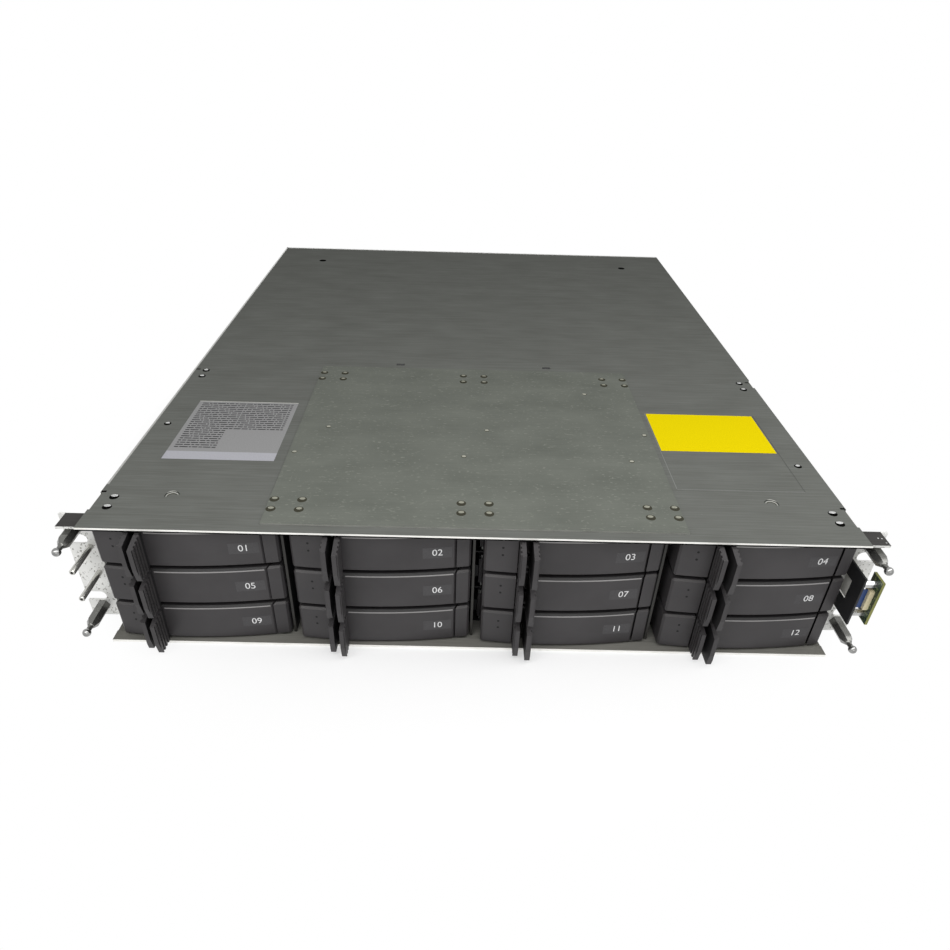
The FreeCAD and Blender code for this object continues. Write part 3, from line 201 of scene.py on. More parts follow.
soft_box("lamp_above", (0.03, -0.5, 0.6), (0, -0.42, 0.09), (1.6, 0.3), 5.0)
soft_box("lamp_front", (0.5, -2.2, 0.8), (0, -0.2, 0.05), (1.6, 1.0), 5)
soft_box("lamp_rear", (-0.3, 1.9, 0.3), (0, 0.2, 0.05), (1.6, 0.5), 7)

# %% [markdown]
# ## Building blocks for finishes
# Every finish starts as one Principled shader with plain colour, roughness and metal values on
# its own sockets. Textures are then laid over it in the model's own coordinates, so a grain keeps
# its real size on every piece and needs no unwrapping.

# %% Building blocks for finishes
def new_finish(name, colour, roughness, metal=0.0):
    finish = bpy.data.materials.new(name)
    finish.use_nodes = True
    shader = finish.node_tree.nodes["Principled BSDF"]
    shader.inputs["Base Color"].default_value = (*colour, 1)
    shader.inputs["Roughness"].default_value = roughness
    shader.inputs["Metallic"].default_value = metal
    return finish


def shader_of(finish):
    return finish.node_tree.nodes["Principled BSDF"]


def noise(finish, size, stretch=(1, 1, 1), detail=3.0):
    """Noise whose spots are about size metres across, drawn out along an axis by stretch."""
    tree = finish.node_tree
    place = tree.nodes.new("ShaderNodeTexCoord")
    mapping = tree.nodes.new("ShaderNodeMapping")
    mapping.inputs["Scale"].default_value = [1 / s for s in stretch]
    spots = tree.nodes.new("ShaderNodeTexNoise")
    spots.inputs["Scale"].default_value = 1 / size
    spots.inputs["Detail"].default_value = detail
    tree.links.new(place.outputs["Object"], mapping.inputs["Vector"])
    tree.links.new(mapping.outputs["Vector"], spots.inputs["Vector"])
    return spots.outputs["Fac"]


def ramp(finish, value, stops):
    """Colours by value: stops are pairs of a value and a colour."""
    node = finish.node_tree.nodes.new("ShaderNodeValToRGB")
    while len(node.color_ramp.elements) < len(stops):
        node.color_ramp.elements.new(0.5)
    for element, (position, colour) in zip(node.color_ramp.elements, stops):
        element.position = position
        element.color = (*colour, 1)
    finish.node_tree.links.new(value, node.inputs["Fac"])
    return node.outputs["Color"]


def blend_colours(finish, share, first, second, way="MIX"):
    node = finish.node_tree.nodes.new("ShaderNodeMix")
    node.data_type = "RGBA"
    node.blend_type = way
    tree = finish.node_tree
    for socket, value in ((node.inputs["Factor"], share), (node.inputs["A"], first),
                          (node.inputs["B"], second)):
        if isinstance(value, bpy.types.NodeSocket):
            tree.links.new(value, socket)
        else:
            socket.default_value = value if isinstance(value, float) else (*value, 1)
    return node.outputs["Result"]


def paint(finish, colour):
    finish.node_tree.links.new(colour, shader_of(finish).inputs["Base Color"])


def gloss(finish, value, low, high):
    """Roughness between low and high by value."""
    node = finish.node_tree.nodes.new("ShaderNodeMapRange")
    node.inputs["To Min"].default_value = low
    node.inputs["To Max"].default_value = high
    finish.node_tree.links.new(value, node.inputs["Value"])
    finish.node_tree.links.new(node.outputs["Result"], shader_of(finish).inputs["Roughness"])


def relief(finish, value, depth, strength=1.0):
    """Bumps up to depth metres high by value."""
    node = finish.node_tree.nodes.new("ShaderNodeBump")
    node.inputs["Distance"].default_value = depth
    node.inputs["Strength"].default_value = strength
    finish.node_tree.links.new(value, node.inputs["Height"])
    finish.node_tree.links.new(node.outputs["Normal"], shader_of(finish).inputs["Normal"])


print("finish tools ready")

# %% [markdown]
# ## Sheet steel
# Zinc-coated sheet is a dull grey metal. Rolling leaves faint streaks along the sheet, the zinc
# leaves a soft mottling, and handling leaves pale flecks. A shader with a full metal value would
# mirror the white studio, so the cover has none and the colour does all the work.

# %% Sheet steel
STREAK, STREAK_STRETCH = 0.6 * MM, (60, 1, 1)
MOTTLE, MOTTLE_STRETCH = 22 * MM, (1.6, 1, 1)
FLECK, FLECK_STRETCH, FLECK_EDGE = 1.3 * MM, (2.2, 1, 1), 0.05
NONE, FULL = (0, 0, 0), (1, 1, 1)


def sheet_finish(name, dark, light, fleck, fleck_start, metal=0.0, streaky=0.5):
    """Streaked and mottled sheet; flecks show where their noise is above fleck_start."""
    finish = new_finish(name, light, 0.5, metal)
    shader_of(finish).inputs["Specular IOR Level"].default_value = 0.0
    streaks = noise(finish, STREAK, STREAK_STRETCH, 4.0)
    mottle = noise(finish, MOTTLE, MOTTLE_STRETCH, 5.0)
    flecks = noise(finish, FLECK, FLECK_STRETCH, 2.0)
    tone = ramp(finish, mottle, [(0.2, dark), (0.8, light)])
    lines = ramp(finish, streaks, [(0.35, dark), (0.65, light)])
    tone = blend_colours(finish, streaky, tone, lines)
    spots = ramp(finish, flecks, [(fleck_start, NONE), (fleck_start + FLECK_EDGE, FULL)])
    tone = blend_colours(finish, spots, tone, fleck)
    paint(finish, tone)
    gloss(finish, mottle, 0.42, 0.6)
    relief(finish, streaks, 0.02 * MM, 0.4)
    return finish


cover_steel = sheet_finish("cover_steel", srgb(94, 95, 91), srgb(113, 115, 111),
                           srgb(126, 128, 123), 0.77)
plate_steel = sheet_finish("plate_steel", srgb(96, 99, 93), srgb(115, 118, 111),
                           srgb(121, 124, 116), 0.63, streaky=0.25)
tab_steel = sheet_finish("tab_steel", srgb(64, 63, 62), srgb(76, 75, 74), srgb(84, 83, 82), 0.77)
# A lighter copy of the sheet for the tray's upward faces: painted light where they lie in shade.
lip_painted_light = sheet_finish("lip_painted_light", srgb(104, 103, 98), srgb(128, 127, 121),
                         srgb(140, 139, 132), 0.77)
module_steel = sheet_finish("module_steel", srgb(128, 129, 127), srgb(152, 153, 150),
                            srgb(176, 177, 172), 0.75, 0.6)
print("sheet finishes", cover_steel.name, plate_steel.name, module_steel.name)

# %% [markdown]
# ## Bright metal
# Cut edges, folds and plated brackets are bright. The cover's front fold carries a near-white
# painted highlight along its whole length, the strongest line of the picture, and the plate's
# front edge a paler one. Turned pins are smoother, and the plating of the ears is specked. A
# brushed grain would draw rings round the posts and the dark nickel studs, so theirs is a plain
# finish.

# %% Bright metal
BRUSH_STRETCH = (12, 1, 12)
SPECK = 1.5 * MM


def bright_finish(name, dark, light, roughness, grain, metal=0.8, speck=None):
    """Brushed metal with a grain of that size, and with specks where a colour is given for them."""
    finish = new_finish(name, light, roughness, metal)
    brushed = noise(finish, grain, BRUSH_STRETCH, 3.0)
    tone = ramp(finish, brushed, [(0.3, dark), (0.7, light)])
    if speck:
        specks = noise(finish, SPECK, detail=2.0)
        spots = ramp(finish, specks, [(0.6, NONE), (0.66, FULL)])
        tone = blend_colours(finish, spots, tone, speck)
    paint(finish, tone)
    gloss(finish, brushed, roughness - 0.06, roughness + 0.1)
    relief(finish, brushed, 0.01 * MM, 0.3)
    return finish


# A near-white painted highlight for the front edges of cover and tray.
front_highlight_steel = bright_finish("front_highlight_steel", srgb(236, 235, 229), srgb(252, 251, 247),
                           0.35, 1.2 * MM, 0.2)
ear_steel = bright_finish("ear_steel", srgb(206, 206, 203), srgb(242, 242, 239),
                          0.38, 2.5 * MM, 0.3, srgb(146, 145, 140))
pin_steel = bright_finish("pin_steel", srgb(150, 150, 150), srgb(215, 215, 213),
                          0.2, 0.8 * MM, 0.95)
post_steel = new_finish("post_steel", srgb(196, 195, 190), 0.2, 0.85)
stud_nickel = new_finish("stud_nickel", srgb(112, 112, 109), 0.24, 0.8)
ball_steel = bright_finish("ball_steel", srgb(120, 120, 120), srgb(168, 168, 166),
                           0.14, 1.6 * MM, 0.95)
# A paler painted highlight for the plate's front edge.
plate_front_highlight = bright_finish("plate_front_highlight", srgb(140, 141, 135), srgb(172, 172, 166),
                           0.4, 1.2 * MM, 0.2)
divider_edge = bright_finish("divider_edge", srgb(38, 37, 34), srgb(52, 51, 47),
                             0.5, 1.2 * MM, 0.2)
print("bright finishes", front_highlight_steel.name, ear_steel.name, pin_steel.name, stud_nickel.name)

# %% [markdown]
# ## Moulded plastic
# The carriers' bezels are dark warm grey with the fine spark-eroded grain of a moulding tool. Two
# noises of different size break up the colour; the finer one is also the bump.

# %% Moulded plastic
CLOUD = 30 * MM


def moulded_finish(name, dark, light, roughness, grain=0.35 * MM):
    finish = new_finish(name, light, roughness)
    shader_of(finish).inputs["Specular IOR Level"].default_value = 0.3
    pores = noise(finish, grain, detail=2.0)
    clouds = noise(finish, CLOUD, detail=3.0)
    stops = [(0.35, dark), (0.65, light)]
    tone = ramp(finish, clouds, stops)
    tone = blend_colours(finish, 0.2, tone, ramp(finish, pores, stops))
    paint(finish, tone)
    gloss(finish, pores, roughness - 0.05, roughness + 0.1)
    relief(finish, pores, 0.03 * MM, 0.5)
    return finish


bezel_plastic = moulded_finish("bezel_plastic", srgb(53, 51, 52), srgb(61, 59, 60), 0.42)
# Darker copy of the bezel plastic for the lever's bevel: painted shade.
bezel_bevel = moulded_finish("bezel_bevel", srgb(38, 37, 37), srgb(45, 44, 44), 0.5)
# Lighter copy of the bezel plastic for the carrier's bevel: a faint painted highlight.
panel_bevel_highlight = moulded_finish("panel_bevel_highlight", srgb(58, 56, 56), srgb(68, 66, 66), 0.4)
# A pale copy for the thin line below each lever's bevel: painted highlight.
highlight_plastic = moulded_finish("highlight_plastic", srgb(134, 132, 131), srgb(152, 150, 149), 0.4)
black_plastic = moulded_finish("black_plastic", srgb(22, 22, 23), srgb(34, 34, 35), 0.45)
pit_black = moulded_finish("pit_black", srgb(8, 8, 8), srgb(14, 14, 14), 0.6)
socket_cream = moulded_finish("socket_cream", srgb(196, 184, 150), srgb(216, 205, 172), 0.45)
print("moulded finishes", bezel_plastic.name, black_plastic.name, pit_black.name)

# %% [markdown]
# ## Matt print and pits
# Foils, ink and the painted shade of small pits in the sheet are seen at a low angle. A shader
# with a mirror part would turn pale there, so these finishes have none, and only a faint grain.

# %% Matt print and pits
MATT_GRAIN, MATT_SHARE = 0.8 * MM, 0.12


def matt_finish(name, colour, roughness=0.4):
    finish = new_finish(name, colour, roughness)
    shader_of(finish).inputs["Specular IOR Level"].default_value = 0.0
    grain = noise(finish, MATT_GRAIN, detail=2.0)
    shade = ramp(finish, grain, [(0.3, NONE), (0.7, colour)])
    paint(finish, blend_colours(finish, MATT_SHARE, colour, shade))
    gloss(finish, grain, roughness - 0.05, roughness + 0.08)
    return finish


# Both well finishes are painted shade: olive for the wells of the plate's joints and the inner arcs
# of the half-shears, black for the side rivets, half-shears, pilot holes, notches and the front
# fold.
well_painted_shade = matt_finish("well_painted_shade", srgb(66, 65, 56))
shade_black = matt_finish("shade_black", srgb(15, 15, 14))
print("matt finishes", well_painted_shade.name, shade_black.name)

# %% [markdown]
# ## Dressing the solid model's pieces
# A CAD piece keeps its mesh and only gets material slots. Faces that get another finish, such as
# a front edge with a painted highlight, are picked by where they lie and which way they look.

# %% Dressing tools
SQUARE = 0.7
FRONT_EDGE, DIVIDER_EDGE = 0.5 * MM, 12 * MM


def dress(node, finish, *extra):
    """Gives a node its finish; each extra is one more and a test of a face's middle and normal."""
    mesh = nodes[node].data
    mesh.materials.clear()
    mesh.materials.append(finish)
    for slot, (other, chosen) in enumerate(extra, 1):
        mesh.materials.append(other)
        for face in mesh.polygons:
            if chosen(face.center, face.normal):
                face.material_index = slot
    return nodes[node]


def faces_front(middle, normal):
    return normal.y < -SQUARE


def faces_up(middle, normal):
    return normal.z > SQUARE


def at_front_edge(middle, normal):
    return faces_front(middle, normal) and middle.y < FRONT + FRONT_EDGE


def at_divider_edge(middle, normal):
    return faces_front(middle, normal) and middle.y < FRONT + DIVIDER_EDGE


# The front edges of cover and tray carry a near-white painted highlight.
dress("top_cover", cover_steel, (front_highlight_steel, at_front_edge))
# The tray's upward faces get a lighter copy of the sheet as painted light.
dress("base_tray", cover_steel, (lip_painted_light, faces_up), (front_highlight_steel, at_front_edge))
# The plate's front edge is a paler painted highlight.
dress("top_plate", plate_steel, (plate_front_highlight, faces_front))
dress("drive_cage", black_plastic, (divider_edge, at_divider_edge))
dress("module_frame", module_steel)
print("sheet pieces dressed")

# %% Ears
TAB_LEVEL = 80 * MM


def on_tab_top(middle, normal):
    return faces_up(middle, normal) and middle.z > TAB_LEVEL


for ear in ("left_ear", "right_ear"):
    dress(ear, ear_steel, (tab_steel, on_tab_top))
print("ears dressed")

# %% [markdown]
# ## Carriers
# One carrier is four materials in one piece: the dark moulding in front, the steel tray rails,
# the cast disk with its stamped lid, and the black adapter behind it. Each face is sorted by how
# far it lies behind the front edge and how near it is to the carrier's sides. The lever and the
# release are moulded from the same plastic as the front. The grooves and inner faces of their
# paddles get a near-black copy of it as painted shade, the bevel along a lever's top a darker copy
# as painted shade, and the bevel along the carrier's own top a lighter copy as a faint painted
# highlight.

# %% Carriers
BEZEL_WIDTH = 104.0
MOULDING_END = FRONT + 24.55 * MM
DISK_END = FRONT + 172.6 * MM
RAIL = 1.25 * MM
PADDLE, GROOVE = 3.2 * MM, 0.3 * MM
PADDLE_ROOT, THROAT = 2 * MM, 12 * MM
BEVEL_UP, BEVEL_FRONT = (0.5, 0.9), -0.4

# Near-black copy of the bezel plastic for the grooves and inner faces of the paddles: painted
# shade.
paddle_shade = moulded_finish("paddle_shade", srgb(22, 21, 22), srgb(28, 27, 28), 0.6)
tray_steel = sheet_finish("tray_steel", srgb(132, 133, 132), srgb(158, 159, 157),
                          srgb(180, 180, 178), 0.78, 0.6)
disk_casting = bright_finish("disk_casting", srgb(120, 121, 122), srgb(146, 147, 148),
                             0.5, 2 * MM, 0.6)


def is_bevel(middle, normal):
    """The narrow bevel along the top of a bezel."""
    return BEVEL_UP[0] < normal.z < BEVEL_UP[1] and normal.y < BEVEL_FRONT


def dress_carrier(bay):
    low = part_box(f"{bay}_carrier")[0]
    release_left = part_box(f"{bay}_release")[0].x
    lever_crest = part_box(f"{bay}_lever")[0].x + PADDLE

    def behind(middle):
        return middle.y > MOULDING_END

    def is_rail(middle, normal):
        across = middle.x - low.x
        at_side = min(across, BEZEL_WIDTH * MM - across) < RAIL
        return behind(middle) and (at_side or middle.y < MOULDING_END + RAIL)

    def is_disk(middle, normal):
        return behind(middle) and not is_rail(middle, normal) and middle.y < DISK_END

    def is_adapter(middle, normal):
        return behind(middle) and not is_rail(middle, normal) and middle.y >= DISK_END

    def is_release_groove(middle, normal):
        return normal.x < -SQUARE and middle.x > release_left + GROOVE

    def is_lever_groove(middle, normal):
        return (normal.x > SQUARE and middle.x < lever_crest - GROOVE
                and middle.y < FRONT + PADDLE_ROOT)

    def is_release_inside(middle, normal):
        return normal.x > SQUARE

    def is_lever_inside(middle, normal):
        return normal.x < -SQUARE and middle.y < FRONT + THROAT

    dress(f"{bay}_carrier", bezel_plastic, (tray_steel, is_rail), (disk_casting, is_disk),
          (black_plastic, is_adapter), (panel_bevel_highlight, is_bevel))
    dress(f"{bay}_lever", bezel_plastic, (paddle_shade, is_lever_groove),
          (paddle_shade, is_lever_inside), (bezel_bevel, is_bevel))
    dress(f"{bay}_release", bezel_plastic, (paddle_shade, is_release_groove),
          (paddle_shade, is_release_inside))


for bay in BAYS:
    dress_carrier(bay)
print(len(BAYS), "carriers dressed")

# %% [markdown]
# ## Indicator board
# A green circuit board stands on hexagon standoffs beside the right ear, with a flat cable to it.
# The cable's blue end is the stiffener that is bonded on where it enters the socket, and a pale
# film backs its side towards the bracket, where it shows through the bracket's notch. Its
# conductors show as fine stripes, which a wave texture draws without any geometry. Small circuit
# parts are only a mottling of the board.

# %% Indicator board
board_green = moulded_finish("board_green", srgb(34, 54, 36), srgb(50, 74, 48), 0.4, 0.6 * MM)
parts_green = new_finish("parts_green", srgb(38, 60, 40), 0.4)
PART = 1.6 * MM
PART_TONES = [(0.4, srgb(12, 18, 13)), (0.5, srgb(36, 58, 38)), (0.58, srgb(46, 70, 44)),
              (0.66, srgb(120, 126, 84))]
paint(parts_green, ramp(parts_green, noise(parts_green, PART, detail=2.0), PART_TONES))
backing_film = matt_finish("backing_film", srgb(196, 195, 189))
board_rim = moulded_finish("board_rim", srgb(96, 100, 52), srgb(132, 132, 70), 0.4, 0.6 * MM)
ribbon_film = new_finish("ribbon_film", srgb(206, 184, 154), 0.4)
stiffener_blue = new_finish("stiffener_blue", srgb(34, 66, 122), 0.35)
WAVE_PER_PITCH = 0.314


def stripe(finish, pitch, first, second):
    """Fine stripes along the cable, across its height."""
    tree = finish.node_tree
    place = tree.nodes.new("ShaderNodeTexCoord")
    wave = tree.nodes.new("ShaderNodeTexWave")
    wave.bands_direction = "Z"
    wave.inputs["Scale"].default_value = WAVE_PER_PITCH / pitch
    tree.links.new(place.outputs["Object"], wave.inputs["Vector"])
    paint(finish, ramp(finish, wave.outputs["Fac"], [(0.3, first), (0.6, second)]))


stripe(ribbon_film, 1.0 * MM, srgb(168, 146, 108), srgb(216, 204, 174))
print("board finishes", parts_green.name, ribbon_film.name)

# %% Faces of the board and its cable
board_low, board_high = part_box("panel_board")
BOARD_SHEET = 1.7 * MM
SOCKET_HALF = 7.2 * MM
STIFFENER_END = 1.4 * MM
board_middle = (board_low.z + board_high.z) / 2
board_inside = board_high.x - BOARD_SHEET


def is_standoff(middle, normal):
    return middle.x < board_inside and abs(middle.z - board_middle) > SOCKET_HALF


def is_socket(middle, normal):
    return middle.x < board_inside and abs(middle.z - board_middle) <= SOCKET_HALF


def is_board_rim(middle, normal):
    return middle.x > board_inside and abs(normal.x) < SQUARE


def is_stiffener(middle, normal):
    return middle.y < FRONT + STIFFENER_END


def is_backing(middle, normal):
    return normal.x < -SQUARE


dress("panel_board", parts_green, (pin_steel, is_standoff), (socket_cream, is_socket),
      (board_rim, is_board_rim))
dress("panel_bracket", black_plastic)
dress("ribbon_cable", ribbon_film, (stiffener_blue, is_stiffener), (backing_film, is_backing))
print("indicator board dressed")

# %% [markdown]
# ## Rear modules and midplane
# The supplies and canisters are plated cases. What a cable or a hand meets is black: inlets,
# network jacks, handles and levers. The wide ports are bright shells. Faces inside a port are
# told apart by lying just inside its opening. The ends of the midplane's two tabs stand flush in
# slots of the cover and are painted black as the shade of those slots.

# %% Rear modules and midplane
FAN_X, FAN_RADIUS = 33.0 * MM, 28.2 * MM
INLET = (68.6 * MM, 96.2 * MM, 6.8 * MM, 27.2 * MM)
SKIN, GUARD = 0.1 * MM, 1.3 * MM
INLET_DEPTH, FAN_DEPTH, PORT_DEPTH = 20 * MM, 27 * MM, 16.5 * MM
WIDE_PORTS, JACKS = (-51.0 * MM, -17.0 * MM), (17.0 * MM, 51.0 * MM)
WIDE_HALF, JACK_HALF, PORT_TOP = 13.1 * MM, 7.1 * MM, 15.8 * MM


def in_supply(low, high):
    """Tests for the faces of one power supply: inlet, and fan frame with strut and shaft."""
    middle_z = (low.z + high.z) / 2

    def is_inlet(middle, normal):
        x, z = middle.x - low.x, middle.z - low.z
        return (INLET[0] < x < INLET[1] and INLET[2] < z < INLET[3]
                and REAR - INLET_DEPTH < middle.y < REAR - SKIN)

    def is_fan_frame(middle, normal):
        across = math.hypot(middle.x - low.x - FAN_X, middle.z - middle_z)
        return across < FAN_RADIUS and REAR - FAN_DEPTH < middle.y < REAR - GUARD

    return is_inlet, is_fan_frame


def in_canister(low):
    """Tests for the faces of one canister: bright wide ports and black jacks."""
    def in_port(middle, places, half):
        return (any(abs(middle.x - x) < half for x in places)
                and REAR - PORT_DEPTH < middle.y < REAR - SKIN
                and middle.z - low.z < PORT_TOP)

    def is_wide(middle, normal):
        return in_port(middle, WIDE_PORTS, WIDE_HALF)

    def is_jack(middle, normal):
        return in_port(middle, JACKS, JACK_HALF)

    return is_wide, is_jack


for hand in ("left", "right"):
    is_inlet, is_fan_frame = in_supply(*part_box(f"psu_{hand}"))
    dress(f"psu_{hand}", module_steel, (black_plastic, is_inlet), (black_plastic, is_fan_frame))
    dress(f"psu_{hand}_handle", black_plastic)
    dress(f"psu_{hand}_fan", black_plastic)
for tier in ("lower", "upper"):
    is_wide, is_jack = in_canister(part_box(f"io_{tier}")[0])
    dress(f"io_{tier}", module_steel, (ear_steel, is_wide), (pit_black, is_jack))
    for hand in ("left", "right"):
        dress(f"io_{tier}_lever_{hand}", black_plastic)
print("rear modules dressed")

# %% Midplane
MIDPLANE_SHEET, TAB_END_RUN = 3.1 * MM, 1.5 * MM
sockets_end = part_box("midplane")[1].y - MIDPLANE_SHEET
tabs_start = COVER_TOP - TAB_END_RUN
# The tab ends are painted black: painted shade of the cover's slots.
dress("midplane", board_green, (black_plastic, lambda middle, normal: middle.y < sockets_end),
      (pit_black, lambda middle, normal: middle.z > tabs_start))
print("midplane dressed")

# %% [markdown]
# ## Small pieces from points and faces
# Rivets, lamp holes, foils and rules are too small to be worth a modifier stack. One function
# turns a profile about an axis, another lays a flat patch, and a third joins such shapes into one
# mesh that rides a body. Joining keeps the number of objects low, and each shape keeps its own
# finish.

# %% Shapes
def turned_point(radius, turn, height):
    """A point at that radius and turn about Z, in millimetres and radians."""
    return Vector((radius * math.cos(turn), radius * math.sin(turn), height)) * MM


def lathe(profile, steps=20):
    """A profile of radius and height pairs, in millimetres, turned about Z and closed on top."""
    points = [turned_point(radius, math.tau * n / steps, height)
              for radius, height in profile for n in range(steps)]
    faces = [(ring * steps + n, ring * steps + (n + 1) % steps,
              (ring + 1) * steps + (n + 1) % steps, (ring + 1) * steps + n)
             for ring in range(len(profile) - 1) for n in range(steps)]
    faces.append(tuple((len(profile) - 1) * steps + n for n in range(steps)))
    return points, faces


def patch(left, low, right, high, lift=0.0):
    """A flat rectangle, in millimetres."""
    corners = ((left, low), (right, low), (right, high), (left, high))
    return [Vector((x, y, lift)) * MM for x, y in corners], [(0, 1, 2, 3)]


print("shape tools ready")

# %% Joining shapes
SHARP = math.radians(50)


def join_pieces(name, body, pieces, smooth=True):
    """One mesh from pieces, each a shape, a finish and the matrix that places it."""
    points, faces, finishes, finish_of = [], [], [], []
    for (shape_points, shape_faces), finish, place in pieces:
        if finish not in finishes:
            finishes.append(finish)
        start = len(points)
        points += [place @ p for p in shape_points]
        faces += [tuple(start + n for n in face) for face in shape_faces]
        finish_of += [finishes.index(finish)] * len(shape_faces)
    mesh = bpy.data.meshes.new(name)
    mesh.from_pydata(points, [], faces)
    for finish in finishes:
        mesh.materials.append(finish)
    for face, index in zip(mesh.polygons, finish_of):
        face.material_index = index
    if smooth:
        mesh.shade_smooth()
        mesh.set_sharp_from_angle(angle=SHARP)
    piece = bpy.data.objects.new(name, mesh)
    bpy.context.scene.collection.objects.link(piece)
    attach(piece, body)
    return piece


print("piece tools ready")

# %% [markdown]
# ## Studs and posts of the ears
# The bezel clips onto four studs: a hexagon, a cone, a neck and a ball, all turned from one bar.
# The solid model keeps them plain, so here they are turned again with their cone and ball and
# stand in for the CAD node. A six-step lathe gives the hexagon. Two plain posts guide the bezel's
# left end.

# %% Studs and posts
STUD_X, STUD_UPS = 232.55, (14.9, COVER_TOP / MM - 11.4)
POST_X, POST_UPS = -228.5, (41.5, 61.4)
EAR_FACE = 17.5
UPRIGHT = Matrix.Rotation(math.radians(90), 4, "X")
HEXAGON = [(4.04, 0.0), (4.04, 16.0), (2.1, 19.6)]
NECK = [(2.1, 19.6), (1.5, 20.4), (1.5, 23.6)]
BALL_RADIUS, BALL_MIDDLE, BALL_STEPS = 2.55, 25.3, 10
ROUND = 16
POST = [(1.8, 0.0), (1.8, 24.5), (1.4, 25.0), (0.9, 25.0), (0.9, 18.0)]


def on_ear(x, up):
    """Turns a piece forward and stands it on an ear's face, in millimetres."""
    place = Vector((x * MM, FRONT + EAR_FACE * MM, up * MM))
    return Matrix.Translation(place) @ UPRIGHT


ball = []
for n in range(2, BALL_STEPS):
    tilt = math.pi * n / BALL_STEPS
    ball.append((BALL_RADIUS * math.sin(tilt), BALL_MIDDLE - BALL_RADIUS * math.cos(tilt)))
turned = []
for side in (-1, 1):
    for up in STUD_UPS:
        seat = on_ear(STUD_X * side, up)
        turned += [(lathe(HEXAGON, 6), stud_nickel, seat), (lathe(NECK, ROUND), stud_nickel, seat),
                   (lathe(ball, ROUND), ball_steel, seat)]
turned += [(lathe(POST, ROUND), post_steel, on_ear(POST_X, up)) for up in POST_UPS]
studs = join_pieces("ear_studs_turned", "chassis", turned)
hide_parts("ear_studs")
print(len(STUD_UPS) * 2, "studs and", len(POST_UPS), "posts")

# %% [markdown]
# ## Rivets and dimples of the cover
# The stiffening plate is fixed by six groups of four clinch joints, and the cover by two pairs of
# rivets at each side, with a lone one between. Each is a dark disc for its well, painted shade, and
# a lighter low dome for its button, a painted highlight, set a little to the rear. Lone weld
# dimples are smaller.
# A boolean cut would be truer from close by, but at this size a disc and a dome give the same
# picture. A button is given by its width as a share of the well, its depth as a share of its
# width, and its shift to the rear as a share of the well's radius.

# %% Clinch joints
# Pale finishes for the buttons of joints and dimples: painted highlight.
button_highlight = matt_finish("button_highlight", srgb(150, 150, 137))
dimple_highlight = matt_finish("dimple_highlight", srgb(166, 166, 154))
rivet_steel = bright_finish("rivet_steel", srgb(172, 173, 172), srgb(206, 206, 204),
                            0.3, 1.0 * MM, 0.1)
WELL_HEIGHT, BUTTON_LIFT = 0.02, 0.03
BUTTON_PROFILE = [(1.0, 0.0), (0.9, 0.1), (0.6, 0.2), (0.2, 0.24)]


def disc(radius, height, steps=20):
    return lathe([(radius, 0.0), (radius, height)], steps)


def clinch(x, back, lift, radius, bright, dark, button, lean=0.0):
    """A dark well of painted shade and a lighter button of painted highlight, leaning to a side by
    a share of the radius.
    """
    share, squash, shift = button
    size = radius * share
    dome = lathe([(size * reach, height) for reach, height in BUTTON_PROFILE])
    seat = Matrix.Translation(on_cover(x, back, lift))
    head = (Matrix.Translation(on_cover(x + radius * lean, back + radius * shift,
                                        lift + BUTTON_LIFT))
            @ Matrix.Diagonal((1, squash, 1, 1)))
    return [(disc(radius, WELL_HEIGHT), dark, seat), (dome, bright, head)]


print("joint finishes", button_highlight.name, dimple_highlight.name, rivet_steel.name)

# %% Joints on the plate
GROUP_X = (-110.8, 0.0, 110.8)
GROUP_BACK = ((21.8, 32.0), (202.0, 213.0))
PAIR_HALF = 8.2
DIMPLES = [(-101.5, 123.3), (-118.2, 87.7), (-7.0, 86.8), (8.7, 123.2), (103.2, 85.5),
           (118.7, 121.7), (85.0, 185.0)]
PLATE_LIFT = (PLATE_TOP - COVER_TOP) / MM
PLATE_BUTTONS = ((0.6, 0.72, 0.4), (0.54, 0.7, 0.42))
DIMPLE = (0.82, 0.82, 0.14)
CLINCH_RADIUS, DIMPLE_RADIUS = 2.9, 1.8

joints_on_plate = []
for x in GROUP_X:
    for backs, head in zip(GROUP_BACK, PLATE_BUTTONS):
        for back in backs:
            for side in (-1, 1):
                joints_on_plate += clinch(x + PAIR_HALF * side, back, PLATE_LIFT, CLINCH_RADIUS,
                                          button_highlight, well_painted_shade, head)
for x, back in DIMPLES:
    joints_on_plate += clinch(x, back, PLATE_LIFT, DIMPLE_RADIUS, dimple_highlight, well_painted_shade, DIMPLE)
join_pieces("plate_clinches", "chassis", joints_on_plate)
print(len(joints_on_plate) // 2, "joints on the plate")

# %% Rivets at the sides
SIDE_X, SIDE_BACK = 213.5, ((21.0, 31.5), (202.5, 213.5))
LONE_RIVETS = [(-213.4, 123.4), (213.0, 85.8)]
SIDE_BUTTONS = ((0.76, 0.58, 0.48), (0.6, 0.75, 0.4))
RIVET_RADIUS, LONE_RADIUS, LEAN = 2.8, 2.5, 0.1

# Each side rivet: a black well of painted shade and a bright button of painted highlight.
joints_at_sides = []
for side in (-1, 1):
    for backs, head in zip(SIDE_BACK, SIDE_BUTTONS):
        for back in backs:
            joints_at_sides += clinch(SIDE_X * side, back, 0.0, RIVET_RADIUS, rivet_steel,
                                      shade_black, head, LEAN * side)
for x, back in LONE_RIVETS:
    joints_at_sides += clinch(x, back, 0.0, LONE_RADIUS, rivet_steel, shade_black,
                              SIDE_BUTTONS[1], math.copysign(LEAN, x))
join_pieces("cover_side_rivets", "chassis", joints_at_sides)
print(len(joints_at_sides) // 2, "rivets at the sides")

